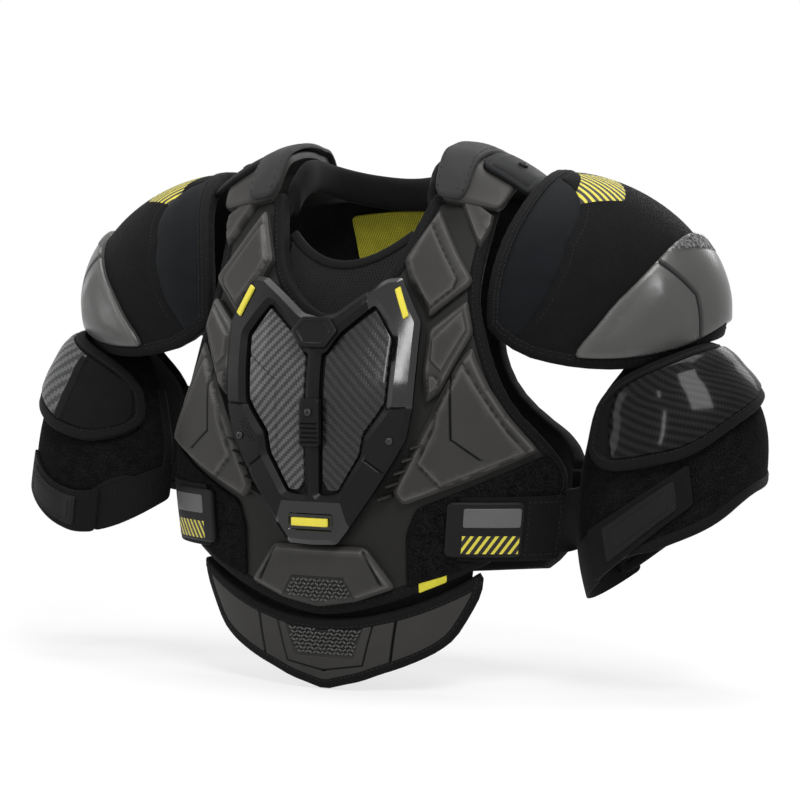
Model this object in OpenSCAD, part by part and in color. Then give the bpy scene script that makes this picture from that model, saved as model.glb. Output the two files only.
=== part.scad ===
// Hockey shoulder pads: foam pads, moulded plates and webbing worn over the torso.
// Each pad is a flat pattern in millimetres, draped over a torso, shoulder or arm form.
// +X is the wearer's left, -Y the front, +Z up; z = 0 is the lower edge of the panels.

/* [Torso] */
// Width of the torso form at the chest
chest_w = 364; // [350:2:380]
// Depth of the torso form in front of its middle
chest_deep = 101; // [95:1:107]
// Depth of the torso form behind its middle
back_deep = 105; // [99:1:111]
// Taper of each side towards the waist
waist_in = 24; // [16:1:30]
// Height of the shoulder ridge
ridge_h = 435; // [431:1:439]

/* [Padding] */
// Thickness of the base foam of chest and back
base_t = 11; // [8:0.5:13]
// Thickness of the moulded panels
panel_t = 8; // [6:0.5:10]
// Thickness of the sternum frame
frame_t = 10; // [8:0.5:12]
// Thickness of the carbon plates
plate_t = 4; // [3:0.5:6]
// Thickness of the belly pad
flap_t = 10; // [8:0.5:12]
// Slack between sewn layers
slack = 0.8; // [0.7:0.05:0.9]

/* [Shoulder caps] */
// Reach of the cap from its middle to the outside
cap_reach = 170; // [164:1:176]
// Half depth of the cap from front to back
cap_deep = 94; // [90:1:98]
// Height of the cap over its middle
cap_rise = 126; // [122:1:130]
// Thickness of the cap foam
cap_t = 13; // [10:0.5:15]
// Thickness of the moulded cap plate
cap_plate_t = 4; // [3:0.5:6]

/* [Arms] */
// Half width of the arm form at the cuff
cuff_w = 92; // [88:1:96]
// Half depth of the arm form at the cuff
cuff_deep = 66; // [62:1:70]
// Thickness of the arm liner
liner_t = 6; // [4:0.5:8]
// Thickness of the bicep guard pad
guard_t = 6; // [5:0.5:8]
// Thickness of the carbon bicep plate
guard_plate_t = 2.5; // [2:0.5:4]

/* [Straps and fasteners] */
// Width of the elastic side strap
strap_w = 54; // [44:1:56]
// Width of the moulded tab on the side strap
tab_w = 46; // [36:1:48]
// Thickness of webbing and elastic
strap_t = 2.5; // [2:0.5:3]
// Width of the bicep strap
arm_strap_w = 42; // [34:1:46]
// Head diameter of the frame screws
screw_d = 7; // [5:0.5:8]
// Head diameter of the arch rivets
rivet_d = 9; // [7:0.5:11]

/* [Output] */
// Sub-part to draw, or all

/* [Hidden] */

// Offsets of the layers from the torso form
base_in = 2;
base_out = base_in + base_t;
panel_in = base_out + slack;
panel_out = panel_in + panel_t;
frame_in = panel_out + slack;
frame_out = frame_in + frame_t;
trim_in = frame_out + slack;
loop_out = panel_in + 2;
tab_in = loop_out + slack;
tab_out = tab_in + strap_t;
yoke_out = panel_in + panel_t;
flap_in = yoke_out + slack;
hang_out = base_in - slack;
yoke_h = 15;

// Middle of the cap form and line of the arm form, tied to the chest
cap_x = chest_w / 2 - 37;
cap_y = 26;
cap_z = ridge_h - 173;
arm_x = chest_w / 2 + 75;
arm_y = 8;
arm_z = cap_z - 6.8;

function ramp(x) = min(1, max(0, x));
function ease(x) = let (t = ramp(x)) t * t * (3 - 2 * t);
function half_w(v) = chest_w / 2 - waist_in * ease((130 - v) / 200);
function front_r(v) = chest_deep * (1 - pow(ramp((v - 180) / (ridge_h - 180)), 1.75))
  - 9 * pow(ramp((80 - v) / 200), 1.5);
function back_r(v) = back_deep * (1 - pow(ramp((v - 230) / (ridge_h - 230)), 2))
  - 23 * ease((200 - v) / 320);
function lean(v) = 15 * pow(ramp((v - 200) / 230), 1.5);
function drop(x, v) = 0.3 * x * x / (abs(x) + 120) * ease((v - 230) / 170);

// Turn in degrees at each girth along the torso, added up in three degree steps
GIRTH = [
  for (i = 0, s = 0; i <= 60; s = s + PI / 60 * norm([chest_w / 2 * cos(3 * i + 1.5),
    chest_deep * sin(3 * i + 1.5)]), i = i + 1) [s, 3 * i]
];
half_girth = GIRTH[60][0];
function turn(u) = sign(u) * lookup(abs(u), GIRTH);

// Torso form: u from the front middle towards the left, v up
torso = function (u, v)
  let (t = turn(u), x = half_w(v) * sin(t), r = abs(t) <= 90 ? front_r(v) : back_r(v))
  [x, lean(v) - r * cos(t), v - drop(x, v)];

// Back form: u from the back middle towards the right, v up
back = function (u, v)
  let (t = turn(u), x = -half_w(v) * sin(t))
  [x, lean(v) + back_r(v) * cos(t), v - drop(x, v)];

// Saddle over the shoulder: x across, a in degrees from the front over the top
saddle = function (x, a)
  let (c = cos(asin(x / half_w(380))), f = lean(380) - front_r(380) * c)
  let (b = lean(380) + back_r(380) * c)
  [x, (f + b) / 2 + (b - f) / 2 * sin(a), 380 - drop(x, 380) - pow(max(0, x - 80), 2) / 250
    + yoke_h * cos(a)];

// Cap form: pattern around the outermost point, p to the front, q up
cap = function (p, q)
  let (r = norm([p, q]) * 0.573, t = atan2(p, q))
  [cap_x + cap_reach * cos(r), cap_y - cap_deep * sin(r) * sin(t), cap_z + cap_rise * sin(r) * cos(t)];

// Arm form: g in degrees from the outside to the front, w down along the arm
arm_a = [[0, 0.1], [34, 0.22], [54, 0.5], [90, 0.74], [140, 0.97], [165, 1.02], [240, 1]];
arm_b = [[0, 0.15], [34, 0.28], [54, 0.6], [90, 0.82], [140, 0.98], [165, 1], [240, 1]];
function arm_form(fall) = function (g, w)
  let (level = fall * ease((w - 60) / 120), tilt = 18 + 0.115 * w - level)
  let (a = cuff_w * lookup(w, arm_a) * cos(g) * (1 - 0.006 * level))
  let (b = cuff_deep * lookup(w, arm_b) * sin(g) * (1 + 0.005 * level))
  [arm_x + 0.12 * w + a * cos(tilt), arm_y + 0.02 * w - b, arm_z - 0.88 * w + a * sin(tilt)];
// The cuff of the left arm turns inwards, that of the right arm hangs level and rounder
arm_left = arm_form(0);
arm_right = arm_form(33);

// Point at offset d over a form; o = -1 where the pattern is seen mirrored
function over(f, u, v, d, o = 1) =
  let (n = cross(f(u + 1, v) - f(u - 1, v), f(u, v + 1) - f(u, v - 1)))
  f(u, v) + n / norm(n) * d * o;

// Outline with its long edges divided
function dense(P, step) = [
  for (i = [0 : len(P) - 1])
    let (a = P[i], b = P[(i + 1) % len(P)], n = max(1, round(norm(b - a) / step)))
      for (k = [0 : n - 1]) a + (b - a) * k / n
];

// Outline of a pad that is the same on both sides, from its lower to its upper middle
function both(P) = concat(P, [for (i = [len(P) - 2 : -1 : 1]) [-P[i][0], P[i][1]]]);

// Rows of pattern points from an inner to an outer edge: u, v, u, v, bend
function rows(R, k) = [
  for (r = R) [
    for (j = [0 : k]) [r[0] + (r[2] - r[0]) * j / k, r[1] + (r[3] - r[1]) * pow(j / k, r[4])]
  ]
];

// Rows between a lower and an upper edge given as u, low, high
function between(C, m) = [
  for (i = [0 : m]) [for (c = C) [c[0], c[1] + (c[2] - c[1]) * i / m]]
];
function wide(C) = concat([for (i = [len(C) - 1 : -1 : 1]) [-C[i][0], C[i][1], C[i][2]]], C);

function quad(a, b, c, d) = [[a, b, c], [a, c, d]];

// Closed solid from triangles, turned over for a mirrored pattern
module solid(points, faces, o) {
  polyhedron(points, o > 0 ? faces : [for (f = faces) [f[0], f[2], f[1]]]);
}

// Pad with a bevelled edge and a slight crown, from an outline seen from its middle c
module pad(f, outline, c, d0, d1, bevel = 3, crown = 1, steps = 2, step = 24, o = 1) {
  P = dense(outline, step);
  n = len(P);
  Q = [for (p = P) c + (p - c) * max(0.4, 1 - bevel / norm(p - c))];
  R = concat(
    [for (k = [1 : steps]) [for (p = P) over(f, (c + (p - c) * k / steps)[0],
      (c + (p - c) * k / steps)[1], d0, o)]],
    [[for (p = P) over(f, p[0], p[1], d1 - bevel, o)]],
    [for (k = [steps : -1 : 1]) [for (q = Q) over(f, (c + (q - c) * k / steps)[0],
      (c + (q - c) * k / steps)[1], d1 + crown * (1 - k * k / steps / steps), o)]]
  );
  m = len(R);
  points = concat([for (r = R) for (p = r) p],
    [over(f, c[0], c[1], d0, o), over(f, c[0], c[1], d1 + crown, o)]);
  faces = concat(
    [for (i = [0 : m - 2]) for (j = [0 : n - 1]) let (e = (j + 1) % n)
      each quad(i * n + j, (i + 1) * n + j, (i + 1) * n + e, i * n + e)],
    [for (j = [0 : n - 1]) [m * n, j, (j + 1) % n]],
    [for (j = [0 : n - 1]) [m * n + 1, (m - 1) * n + (j + 1) % n, (m - 1) * n + j]]
  );
  solid(points, faces, o);
}

// Solid between two grids of points, lower B and upper T
module slab(B, T, o = 1) {
  m = len(B) - 1;
  k = len(B[0]) - 1;
  h = (m + 1) * (k + 1);
  function id(i, j) = i * (k + 1) + j;
  points = concat([for (r = B) for (p = r) p], [for (r = T) for (p = r) p]);
  faces = concat(
    [for (i = [0 : m - 1]) for (j = [0 : k - 1])
      each quad(id(i, j), id(i, j + 1), id(i + 1, j + 1), id(i + 1, j))],
    [for (i = [0 : m - 1]) for (j = [0 : k - 1])
      each quad(h + id(i, j), h + id(i + 1, j), h + id(i + 1, j + 1), h + id(i, j + 1))],
    [for (i = [0 : m - 1]) each quad(id(i, 0), id(i + 1, 0), h + id(i + 1, 0), h + id(i, 0))],
    [for (i = [0 : m - 1]) each quad(id(i, k), h + id(i, k), h + id(i + 1, k), id(i + 1, k))],
    [for (j = [0 : k - 1]) each quad(id(0, j), h + id(0, j), h + id(0, j + 1), id(0, j + 1))],
    [for (j = [0 : k - 1]) each quad(id(m, j), id(m, j + 1), h + id(m, j + 1), h + id(m, j))]
  );
  solid(points, faces, o);
}

// Sheet over a form from a grid of pattern points, thinner along its edges
module sheet(f, G, d0, d1, bevel = 2, o = 1) {
  m = len(G) - 1;
  k = len(G[0]) - 1;
  function rim(i, j) = i == 0 || i == m || j == 0 || j == k;
  slab([for (r = G) [for (p = r) over(f, p[0], p[1], d0, o)]],
    [for (i = [0 : m]) [for (j = [0 : k])
      over(f, G[i][j][0], G[i][j][1], rim(i, j) ? d1 - bevel : d1, o)]], o);
}

// Closed ring of equal cross sections
module ring(S) {
  n = len(S);
  k = len(S[0]);
  points = [for (s = S) for (p = s) p];
  faces = [for (i = [0 : n - 1]) for (j = [0 : k - 1])
    let (a = (i + 1) % n, b = (j + 1) % k)
      each quad(i * k + j, i * k + b, a * k + b, a * k + j)];
  polyhedron(points, faces);
}

module flip() mirror([1, 0, 0]) children();

// Chest

CHEST = [
  [0.4, 4, 150, 54, 1.6], [0.4, 30, 188, 84, 1.5], [0.4, 62, 210, 108, 1.4],
  [0.4, 95, 210, 130, 1.3], [0.4, 125, 186, 158, 1.2], [0.4, 155, 162, 184, 1.1],
  [0.4, 185, 148, 211, 1], [0.4, 215, 138, 240, 1], [0.4, 240, 130, 268, 1],
  [2, 256, 128, 288, 1], [30, 272, 128, 304, 1], [47, 290, 129, 322, 1],
  [57, 312, 130, 340, 1], [64, 335, 131, 354, 1], [70, 356, 132, 364, 1], [75, 370, 132, 370, 1]
];
CLAVICLE = [[90, 256], [120, 286], [122, 292], [108, 312], [83, 352], [62, 304], [70, 287], [86, 266]];
RIB = [[92, 188], [103, 196], [127, 245], [120, 273], [91, 246], [89, 210]];
PECTORAL = [
  [74, 101], [130, 124], [181, 147], [158, 176], [140, 204], [131, 222], [127, 234], [117, 221],
  [97, 181], [65, 112]
];
ABDOMEN = both([[0, 11], [36, 17], [71, 30], [43, 64], [0, 64]]);
LOOP = [[82, 38], [112, 48], [150, 68], [184, 95], [198, 119], [186, 137], [84, 96], [78, 76]];

module chest_base() sheet(torso, rows(CHEST, 8), base_in, base_out, 2.5);
module clavicle_pad() pad(torso, CLAVICLE, [90, 302], panel_in, panel_out);
module rib_pad() pad(torso, RIB, [106, 236], panel_in, panel_out, 3, 1, 2);
module pectoral_pad() pad(torso, PECTORAL, [118, 152], panel_in, panel_out, 4, 1, 4, 18);
module loop_field() pad(torso, LOOP, [130, 86], panel_in, loop_out, 0.8, 0, 4, 18);
module chest_base_left() color("#2a2a2b") chest_base();
module chest_base_right() color("#2a2a2b") flip() chest_base();
module clavicle_pad_left() color("#474645") clavicle_pad();
module clavicle_pad_right() color("#474645") flip() clavicle_pad();
module rib_pad_left() color("#474645") rib_pad();
module rib_pad_right() color("#474645") flip() rib_pad();
module pectoral_pad_left() color("#474645") pectoral_pad();
module pectoral_pad_right() color("#474645") flip() pectoral_pad();
module abdomen_pad() color("#474645") pad(torso, ABDOMEN, [0, 40], panel_in, panel_out, 4);
module loop_field_left() color("#1c1c1d") loop_field();
module loop_field_right() color("#1c1c1d") flip() loop_field();
module neck_bib()
  color("#202021") sheet(torso, between([for (u = [-60 : 15 : 60]) [u, 232, 304 + u * u / 116]], 4),
    hang_out - 5, hang_out, 1);

// Sternum guard: foam bed, open frame, carbon plates and trim

BED = both([
  [0, 69], [21, 70], [29, 80], [52, 117], [76, 158], [81, 185], [84, 249], [65, 283], [53, 281],
  [13, 252], [0, 249]
]);
// Stations of the frame from the lower to the upper middle: outer edge, inner edge
RAIL = [
  [[0, 66], [0, 110]], [[22, 67], [11, 108]], [[31, 79], [23, 110]], [[55, 117], [32, 126]],
  [[66, 136], [42, 143]], [[78, 158], [45, 160]], [[83, 185], [63, 186]], [[85, 215], [65, 212]],
  [[86, 250], [66, 238]], [[66, 286], [56, 252]], [[54, 284], [47, 263]], [[34, 270], [20, 240]],
  [[14, 255], [10, 225]], [[0, 252], [0, 224]]
];
CARBON = [
  [13, 112], [22, 112], [40, 144], [43, 162], [61, 188], [64, 237], [48, 260], [21, 238], [9, 222],
  [8, 122]
];
function station(s, m) = let (a = [m * s[0][0], s[0][1]], b = [m * s[1][0], s[1][1]])
  let (c = a + (b - a) * 0.2, e = b + (a - b) * 0.2) [
    over(torso, a[0], a[1], frame_in), over(torso, a[0], a[1], frame_out - 4),
    over(torso, c[0], c[1], frame_out), over(torso, e[0], e[1], frame_out),
    over(torso, b[0], b[1], frame_out - 4), over(torso, b[0], b[1], frame_in)
  ];

module sternum_base() color("#39393a") pad(torso, BED, [0, 165], panel_in, panel_out, 2, 0, 5, 20);
module sternum_frame() {
  color("#141415") ring(concat([for (s = RAIL) station(s, 1)],
    [for (i = [len(RAIL) - 2 : -1 : 1]) station(RAIL[i], -1)]));
  color("#141415") sheet(torso, between([for (u = [-6 : 3 : 6]) [u, 106, 228]], 6),
    frame_in, frame_out - 3, 1);
}
module sternum_plate() pad(torso, CARBON, [31, 190], frame_in, frame_in + plate_t, 1, 1);
module sternum_plate_left() color("#2d2f31") sternum_plate();
module sternum_plate_right() color("#2d2f31") flip() sternum_plate();
module sternum_badge()
  color("#1b1b1c") pad(torso, both([[0, 227], [11, 227], [21, 240], [12, 251], [0, 251]]), [0, 239],
    trim_in, trim_in + 3.5, 1.5, 0.5, 1);
module sternum_slider()
  color("#232324") sheet(torso, between([for (u = [-9 : 4.5 : 9]) [u, 150, 190]], 4),
    frame_out - 3 + slack, frame_out + 3, 1.5);
module frame_inserts() {
  color("#d9d23a") frame_insert();
  color("#d9d23a") flip() frame_insert();
  color("#d9d23a") pad(torso, both([[0, 82], [16, 82], [16, 89], [0, 89]]), [0, 85.5],
    trim_in, trim_in + 2, 0.7, 0, 1);
}
module frame_insert()
  pad(torso, [[73, 251], [77, 254], [67, 277], [63, 274]], [70, 264], trim_in, trim_in + 2, 0.7, 0, 1);

// Screw or rivet head standing on a form, its axis along the normal there
module stud(f, u, v, d, wide, tall) {
  a = over(f, u, v, d);
  n = over(f, u, v, d + 1) - a;
  translate(a)
    rotate([0, acos(n[2]), atan2(n[1], n[0])])
      cylinder(h = tall, d = wide, $fn = 32);
}
module frame_screws() {
  color("#5a5b5d") stud(torso, 0, 180, frame_out + 3.4, screw_d, 1.6);
  color("#5a5b5d") stud(torso, 66, 157, trim_in, screw_d, 1.6);
  color("#5a5b5d") stud(torso, -66, 157, trim_in, screw_d, 1.6);
}

// Shoulder yoke, arches, collar

// Points across the shoulder: front panel, five stops over the top, back panel
function across(i, x, d) =
  i == 0 ? over(torso, x + 3, 360, d)
  : i == 6 ? over(back, -x - 3, 346, d)
  : over(saddle, x, 30 * i - 90, d);
module strap_over(x0, x1, i0, i1, d0, d1) {
  X = [for (j = [0 : 4]) x0 + (x1 - x0) * j / 4];
  slab([for (i = [i0 : i1]) [for (x = X) across(i, x, d0)]],
    [for (i = [i0 : i1]) [for (j = [0 : 4])
      across(i, X[j], i == i0 || i == i1 || j == 0 || j == 4 ? d1 - 2 : d1)]]);
}
// The yoke ends and the arch end under the cap, at these clearances inside its middle
yoke_gap = 13;
arch_gap = 0.4;
arch_w = 41.6;
module yoke() strap_over(cap_x - 69, cap_x - yoke_gap, 0, 6, panel_in, yoke_out);
module shoulder_arch() strap_over(cap_x - arch_gap - arch_w, cap_x - arch_gap, 1, 5, flap_in, flap_in + 4);
module collar_flap() strap_over(cap_x - 73, cap_x - 45, 0, 6, flap_in, flap_in + 4.5);
module yoke_left() color("#232324") yoke();
module yoke_right() color("#232324") flip() yoke();
module shoulder_arch_left() color("#18181a") shoulder_arch();
module shoulder_arch_right() color("#18181a") flip() shoulder_arch();
module collar_flap_left() color("#3b3b3c") collar_flap();
module collar_flap_right() color("#3b3b3c") flip() collar_flap();
module arch_rivets() {
  color("#0f0f10") stud(saddle, cap_x - 20.5, -12, flap_in + 4.4, rivet_d, 2);
  color("#0f0f10") flip() stud(saddle, cap_x - 20.5, -12, flap_in + 4.4, rivet_d, 2);
}

// Collar roll around the back of the neck: middle line and tilt of each station
NECK = [[62, -14, 383], [64, 10, 385], [58, 38, 379], [42, 58, 372], [20, 68, 368], [0, 71, 366.6]];
function neck(i) = i <= 5 ? NECK[i] : [-NECK[10 - i][0], NECK[10 - i][1], NECK[10 - i][2]];
module collar() {
  S = [for (i = [0 : 10])
    let (t = neck(min(10, i + 1)) - neck(max(0, i - 1)), n = [t[1], -t[0], 0] / norm([t[0], t[1]]))
      [for (a = [0 : 36 : 324]) neck(i) + n * 7 * cos(a) + [0, 0, 15] * sin(a)]];
  points = concat([for (s = S) for (p = s) p], [neck(0), neck(10)]);
  faces = concat(
    [for (i = [0 : 9]) for (j = [0 : 9]) let (e = (j + 1) % 10)
      each quad(10 * i + j, 10 * i + e, 10 * i + 10 + e, 10 * i + 10 + j)],
    [for (j = [0 : 9]) [110, (j + 1) % 10, j]],
    [for (j = [0 : 9]) [111, 100 + j, 100 + (j + 1) % 10]]
  );
  color("#262627") polyhedron(points, faces);
}

// Back

BACK = [
  [0.4, 18, 150, 34, 1.3], [0.4, 45, 192, 66, 1.3], [0.4, 75, 210, 98, 1.2], [0.4, 105, 206, 124, 1.1],
  [0.4, 130, 170, 146, 1], [0.4, 154, 120, 166, 1], [0.4, 180, 90, 188, 1], [0.4, 208, 75, 214, 1],
  [0.4, 236, 70, 240, 1], [0.4, 264, 74, 266, 1], [0.4, 290, 90, 292, 1], [0.4, 316, 118, 322, 1],
  [0.4, 338, 131, 348, 1], [0.4, 355, 132, 370, 1]
];
SPINE = both([[0, 60], [20, 64], [26, 130], [32, 240], [28, 318], [16, 334], [0, 336]]);
SCAPULA = [[44, 262], [62, 264], [82, 296], [104, 322], [106, 336], [44, 336], [40, 300]];
LUMBAR = [[34, 52], [80, 52], [146, 70], [176, 102], [152, 130], [110, 148], [70, 176], [38, 180], [36, 120]];

module back_base() sheet(back, rows(BACK, 8), base_in, base_out, 2.5);
module scapula_pad() pad(back, SCAPULA, [66, 312], panel_in, panel_out, 4, 1, 3);
module lumbar_pad() pad(back, LUMBAR, [92, 112], panel_in, panel_out, 4, 1, 4, 18);
module back_base_left() color("#2a2a2b") flip() back_base();
module back_base_right() color("#2a2a2b") back_base();
module scapula_pad_left() color("#474645") flip() scapula_pad();
module scapula_pad_right() color("#474645") scapula_pad();
module lumbar_pad_left() color("#474645") flip() lumbar_pad();
module lumbar_pad_right() color("#474645") lumbar_pad();
module spine_guard() color("#202021") pad(back, SPINE, [0, 200], panel_in, panel_out + 4, 5, 1, 6);
module neck_label()
  color("#c9c238") sheet(back, between([for (u = [-64 : 16 : 64]) [u, 308, 352]], 3),
    hang_out - 3, hang_out, 0.8);

// Side straps: fixed elastic at the side, tab that opens at the front

strap_v = 86;
side_v0 = strap_v - strap_w / 2;
side_v1 = strap_v + strap_w / 2;
hinge_u = 204;
module side_strap()
  sheet(torso, between([for (i = [0 : 7]) let (u = hinge_u + 2) [u + (half_girth - 184 - u) * i / 7,
    side_v0, side_v1]], 3), panel_in, panel_in + strap_t, 0.5);
module side_tab()
  sheet(torso, between([for (u = [120 : 14 : hinge_u]) [u, side_v0 - 4, side_v1 - 4]], 3),
    tab_in, tab_out, 0.5);
module tab_plate()
  sheet(torso, between([for (u = [110 : 12 : 170]) [u, strap_v - 4 - tab_w / 2,
    strap_v - 4 + tab_w / 2]], 3), tab_out + slack, tab_out + 4, 1);
module side_strap_left() color("#1d1d1e") side_strap();
module side_strap_right() color("#1d1d1e") flip() side_strap();
module side_tab_left() color("#19191a") side_tab();
module side_tab_right() color("#19191a") flip() side_tab();
module tab_plate_left() color("#303032") tab_plate();
module tab_plate_right() color("#303032") flip() tab_plate();

// Belly pad with the elastic that hangs it behind the panels

BELLY = wide([
  [0, -63, -2], [20, -58, -1], [38, -54, 1], [57, -47, 5], [76, -41, 10], [96, -33, 17],
  [112, -25, 24], [126, -14, 31], [137, 6, 38], [145, 25, 43]
]);
HANGER = [for (c = BELLY) if (abs(c[0]) < 115) [c[0], c[2] - 22, c[2] + 26]];

module belly_pad() color("#474645") sheet(torso, between(BELLY, 4), base_in, base_in + flap_t, 3);
module belly_hanger()
  color("#151516") sheet(torso, between(HANGER, 3), hang_out - strap_t, hang_out, 0.5);

// Shoulder caps

RIM = [
  [160, -15], [161, 4], [158, 30], [148, 58], [130, 86], [104, 110], [74, 128], [40, 140], [0, 146],
  [-40, 142], [-76, 130], [-108, 108], [-134, 84], [-150, 54], [-158, 24], [-160, 0], [-154, -18],
  [-134, -28], [-104, -28], [-70, -22], [-24, -12], [0, -10], [29, -19], [72, -36], [96, -40],
  [118, -40], [140, -35]
];
// Moulded cap plate: p, lower and upper edge
CAP_PLATE = [
  [-98, -20, -12], [-88, -18, 8], [-74, -15, 24], [-58, -11, 38], [-40, -7, 49], [-22, -4, 55],
  [-2, -3, 58], [20, -9, 57], [40, -17, 51], [60, -24, 40], [78, -29, 26], [94, -32, 10],
  [104, -33, -8], [111, -33, -24]
];
module cap_shell() pad(cap, RIM, [0, 50], -cap_t, 0, 4, 0, 6, 26, -1);
module cap_plate() sheet(cap, between(CAP_PLATE, 6), 2 * slack, 2 * slack + cap_plate_t, 2, -1);
module cap_shell_left() color("#1e1f21") cap_shell();
module cap_shell_right() color("#1e1f21") flip() cap_shell();
module cap_plate_left() color("#4d4d4d") cap_plate();
module cap_plate_right() color("#4d4d4d") flip() cap_plate();

// Arms: liner, bicep guard and strap

guard_in = liner_t + slack;
guard_out = guard_in + guard_t;
strap_mid = 180;
// Turn of the strap's loose end: the two sleeves sit turned against each other
strap_turn_left = 62;
strap_turn_right = 40;
// Longer outside of the left sleeve and of its bicep guard
cuff_drop_left = 60;
cuff_drop_right = 0;
guard_drop_left = 26;
guard_drop_right = 0;
// Sag of the strap at the front of the arm, and rise of the cuff edge over it
strap_sag_left = 0;
strap_sag_right = 50;
cuff_rise_left = 0;
cuff_rise_right = 24;
// Grid around the arm from turn g0 to g1, with the cuff edge lower towards the inside
function cuff(g, w1, rise, down) = w1 + 26 * (1 - cos(min(90, abs(g)))) - rise * ease((g - 95) / 25)
  + down * ease((100 - abs(g - 20)) / 83);
function around(g0, g1, k, w0, w1, m, rise, down) = [
  for (i = [0 : m]) [for (j = [0 : k]) let (g = g0 + (g1 - g0) * j / k)
    [g, w0 + (cuff(g, w1, rise, down) - w0) * i / m]]
];
function band(g0, g1, k, sag) = [
  for (i = [-1 : 1]) [for (j = [0 : k]) let (g = g0 + (g1 - g0) * j / k)
    [g, strap_mid + i * strap_lap + sag * (pow(sin(g), 2) - 0.55)]]
];
// Bicep guard and its plate: turn, upper and lower edge
GUARD = [
  [-84, 66, 92], [-74, 57, 100], [-63, 54, 102], [-52, 54, 103], [-39, 54, 105], [-26, 54, 106],
  [-13, 54, 108], [0, 54, 110], [13, 54, 113], [26, 54, 116], [40, 54, 120], [53, 54, 124],
  [66, 54, 128], [80, 54, 130], [94, 55, 130], [108, 57, 122], [120, 62, 110], [128, 70, 96]
];
function guard(down) = [for (c = GUARD)
  c + [0, 0, down * ease((c[0] + 50) / 70) * ease((100 - c[0]) / 50)]];
module arm_liner(f, rise, down) sheet(f, around(-150, 150, 26, 32, 165, 7, rise, down), 0, liner_t, 2);
module guard_pad(f, down) sheet(f, between(guard(down), 5), guard_in, guard_out, 2);
module guard_plate(f, down)
  sheet(f, between([for (i = [1 : len(GUARD) - 2]) guard(down)[i] + [0, 7, -8]], 4), guard_out + slack,
    guard_out + slack + guard_plate_t, 0.8);
strap_in = liner_t + slack;
strap_lap = arm_strap_w / 2;
strap_arc_left = 164;
strap_arc_right = 114;
tab_arc = 68;
// Elastic sewn across the open inside of the sleeve, under the foot of the pull tab
module arm_strap(f, g, arc, sag)
  sheet(f, band(g + tab_arc - 10, g + arc, 10, sag), strap_in, strap_in + strap_t, 0.4);
// Pull tab: lies on the liner and climbs onto the elastic at its foot
module strap_tab(f, g, sag) {
  G = band(g, g + tab_arc, 7, sag);
  function lift(p) = strap_in + (strap_t + slack) * ease((p[0] - g - tab_arc + 26) / 14);
  slab([for (r = G) [for (p = r) over(f, p[0], p[1], lift(p))]],
    [for (r = G) [for (p = r) over(f, p[0], p[1], lift(p) + strap_t)]]);
}
module arm_liner_left() color("#1b1b1c") arm_liner(arm_left, cuff_rise_left, cuff_drop_left);
module arm_liner_right()
  color("#1b1b1c") flip() arm_liner(arm_right, cuff_rise_right, cuff_drop_right);
module guard_pad_left() color("#202021") guard_pad(arm_left, guard_drop_left);
module guard_pad_right() color("#202021") flip() guard_pad(arm_right, guard_drop_right);
module guard_plate_left() color("#35383b") guard_plate(arm_left, guard_drop_left);
module guard_plate_right() color("#35383b") flip() guard_plate(arm_right, guard_drop_right);
module arm_strap_left()
  color("#171718") arm_strap(arm_left, strap_turn_left, strap_arc_left, strap_sag_left);
module arm_strap_right()
  color("#171718") flip() arm_strap(arm_right, strap_turn_right, strap_arc_right, strap_sag_right);
module strap_tab_left() color("#2a2a2c") strap_tab(arm_left, strap_turn_left, strap_sag_left);
module strap_tab_right() color("#2a2a2c") flip() strap_tab(arm_right, strap_turn_right, strap_sag_right);

chest_base_left();
chest_base_right();
neck_bib();
clavicle_pad_left();
clavicle_pad_right();
rib_pad_left();
rib_pad_right();
pectoral_pad_left();
pectoral_pad_right();
abdomen_pad();
loop_field_left();
loop_field_right();
sternum_base();
sternum_frame();
sternum_plate_left();
sternum_plate_right();
sternum_badge();
sternum_slider();
frame_inserts();
frame_screws();
yoke_left();
yoke_right();
shoulder_arch_left();
shoulder_arch_right();
arch_rivets();
collar_flap_left();
collar_flap_right();
collar();
back_base_left();
back_base_right();
neck_label();
spine_guard();
scapula_pad_left();
scapula_pad_right();
lumbar_pad_left();
lumbar_pad_right();
side_strap_left();
side_strap_right();
side_tab_left();
side_tab_right();
tab_plate_left();
tab_plate_right();
belly_pad();
belly_hanger();
cap_shell_left();
cap_shell_right();
cap_plate_left();
cap_plate_right();
arm_liner_left();
arm_liner_right();
guard_pad_left();
guard_pad_right();
guard_plate_left();
guard_plate_right();
arm_strap_left();
arm_strap_right();
strap_tab_left();
strap_tab_right();
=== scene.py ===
"""Looks of the hockey shoulder pads: draped foam pads, moulded plates, cloth and webbing."""
import math

import bpy
import numpy as np
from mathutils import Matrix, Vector
from mathutils.geometry import delaunay_2d_cdt


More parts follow.
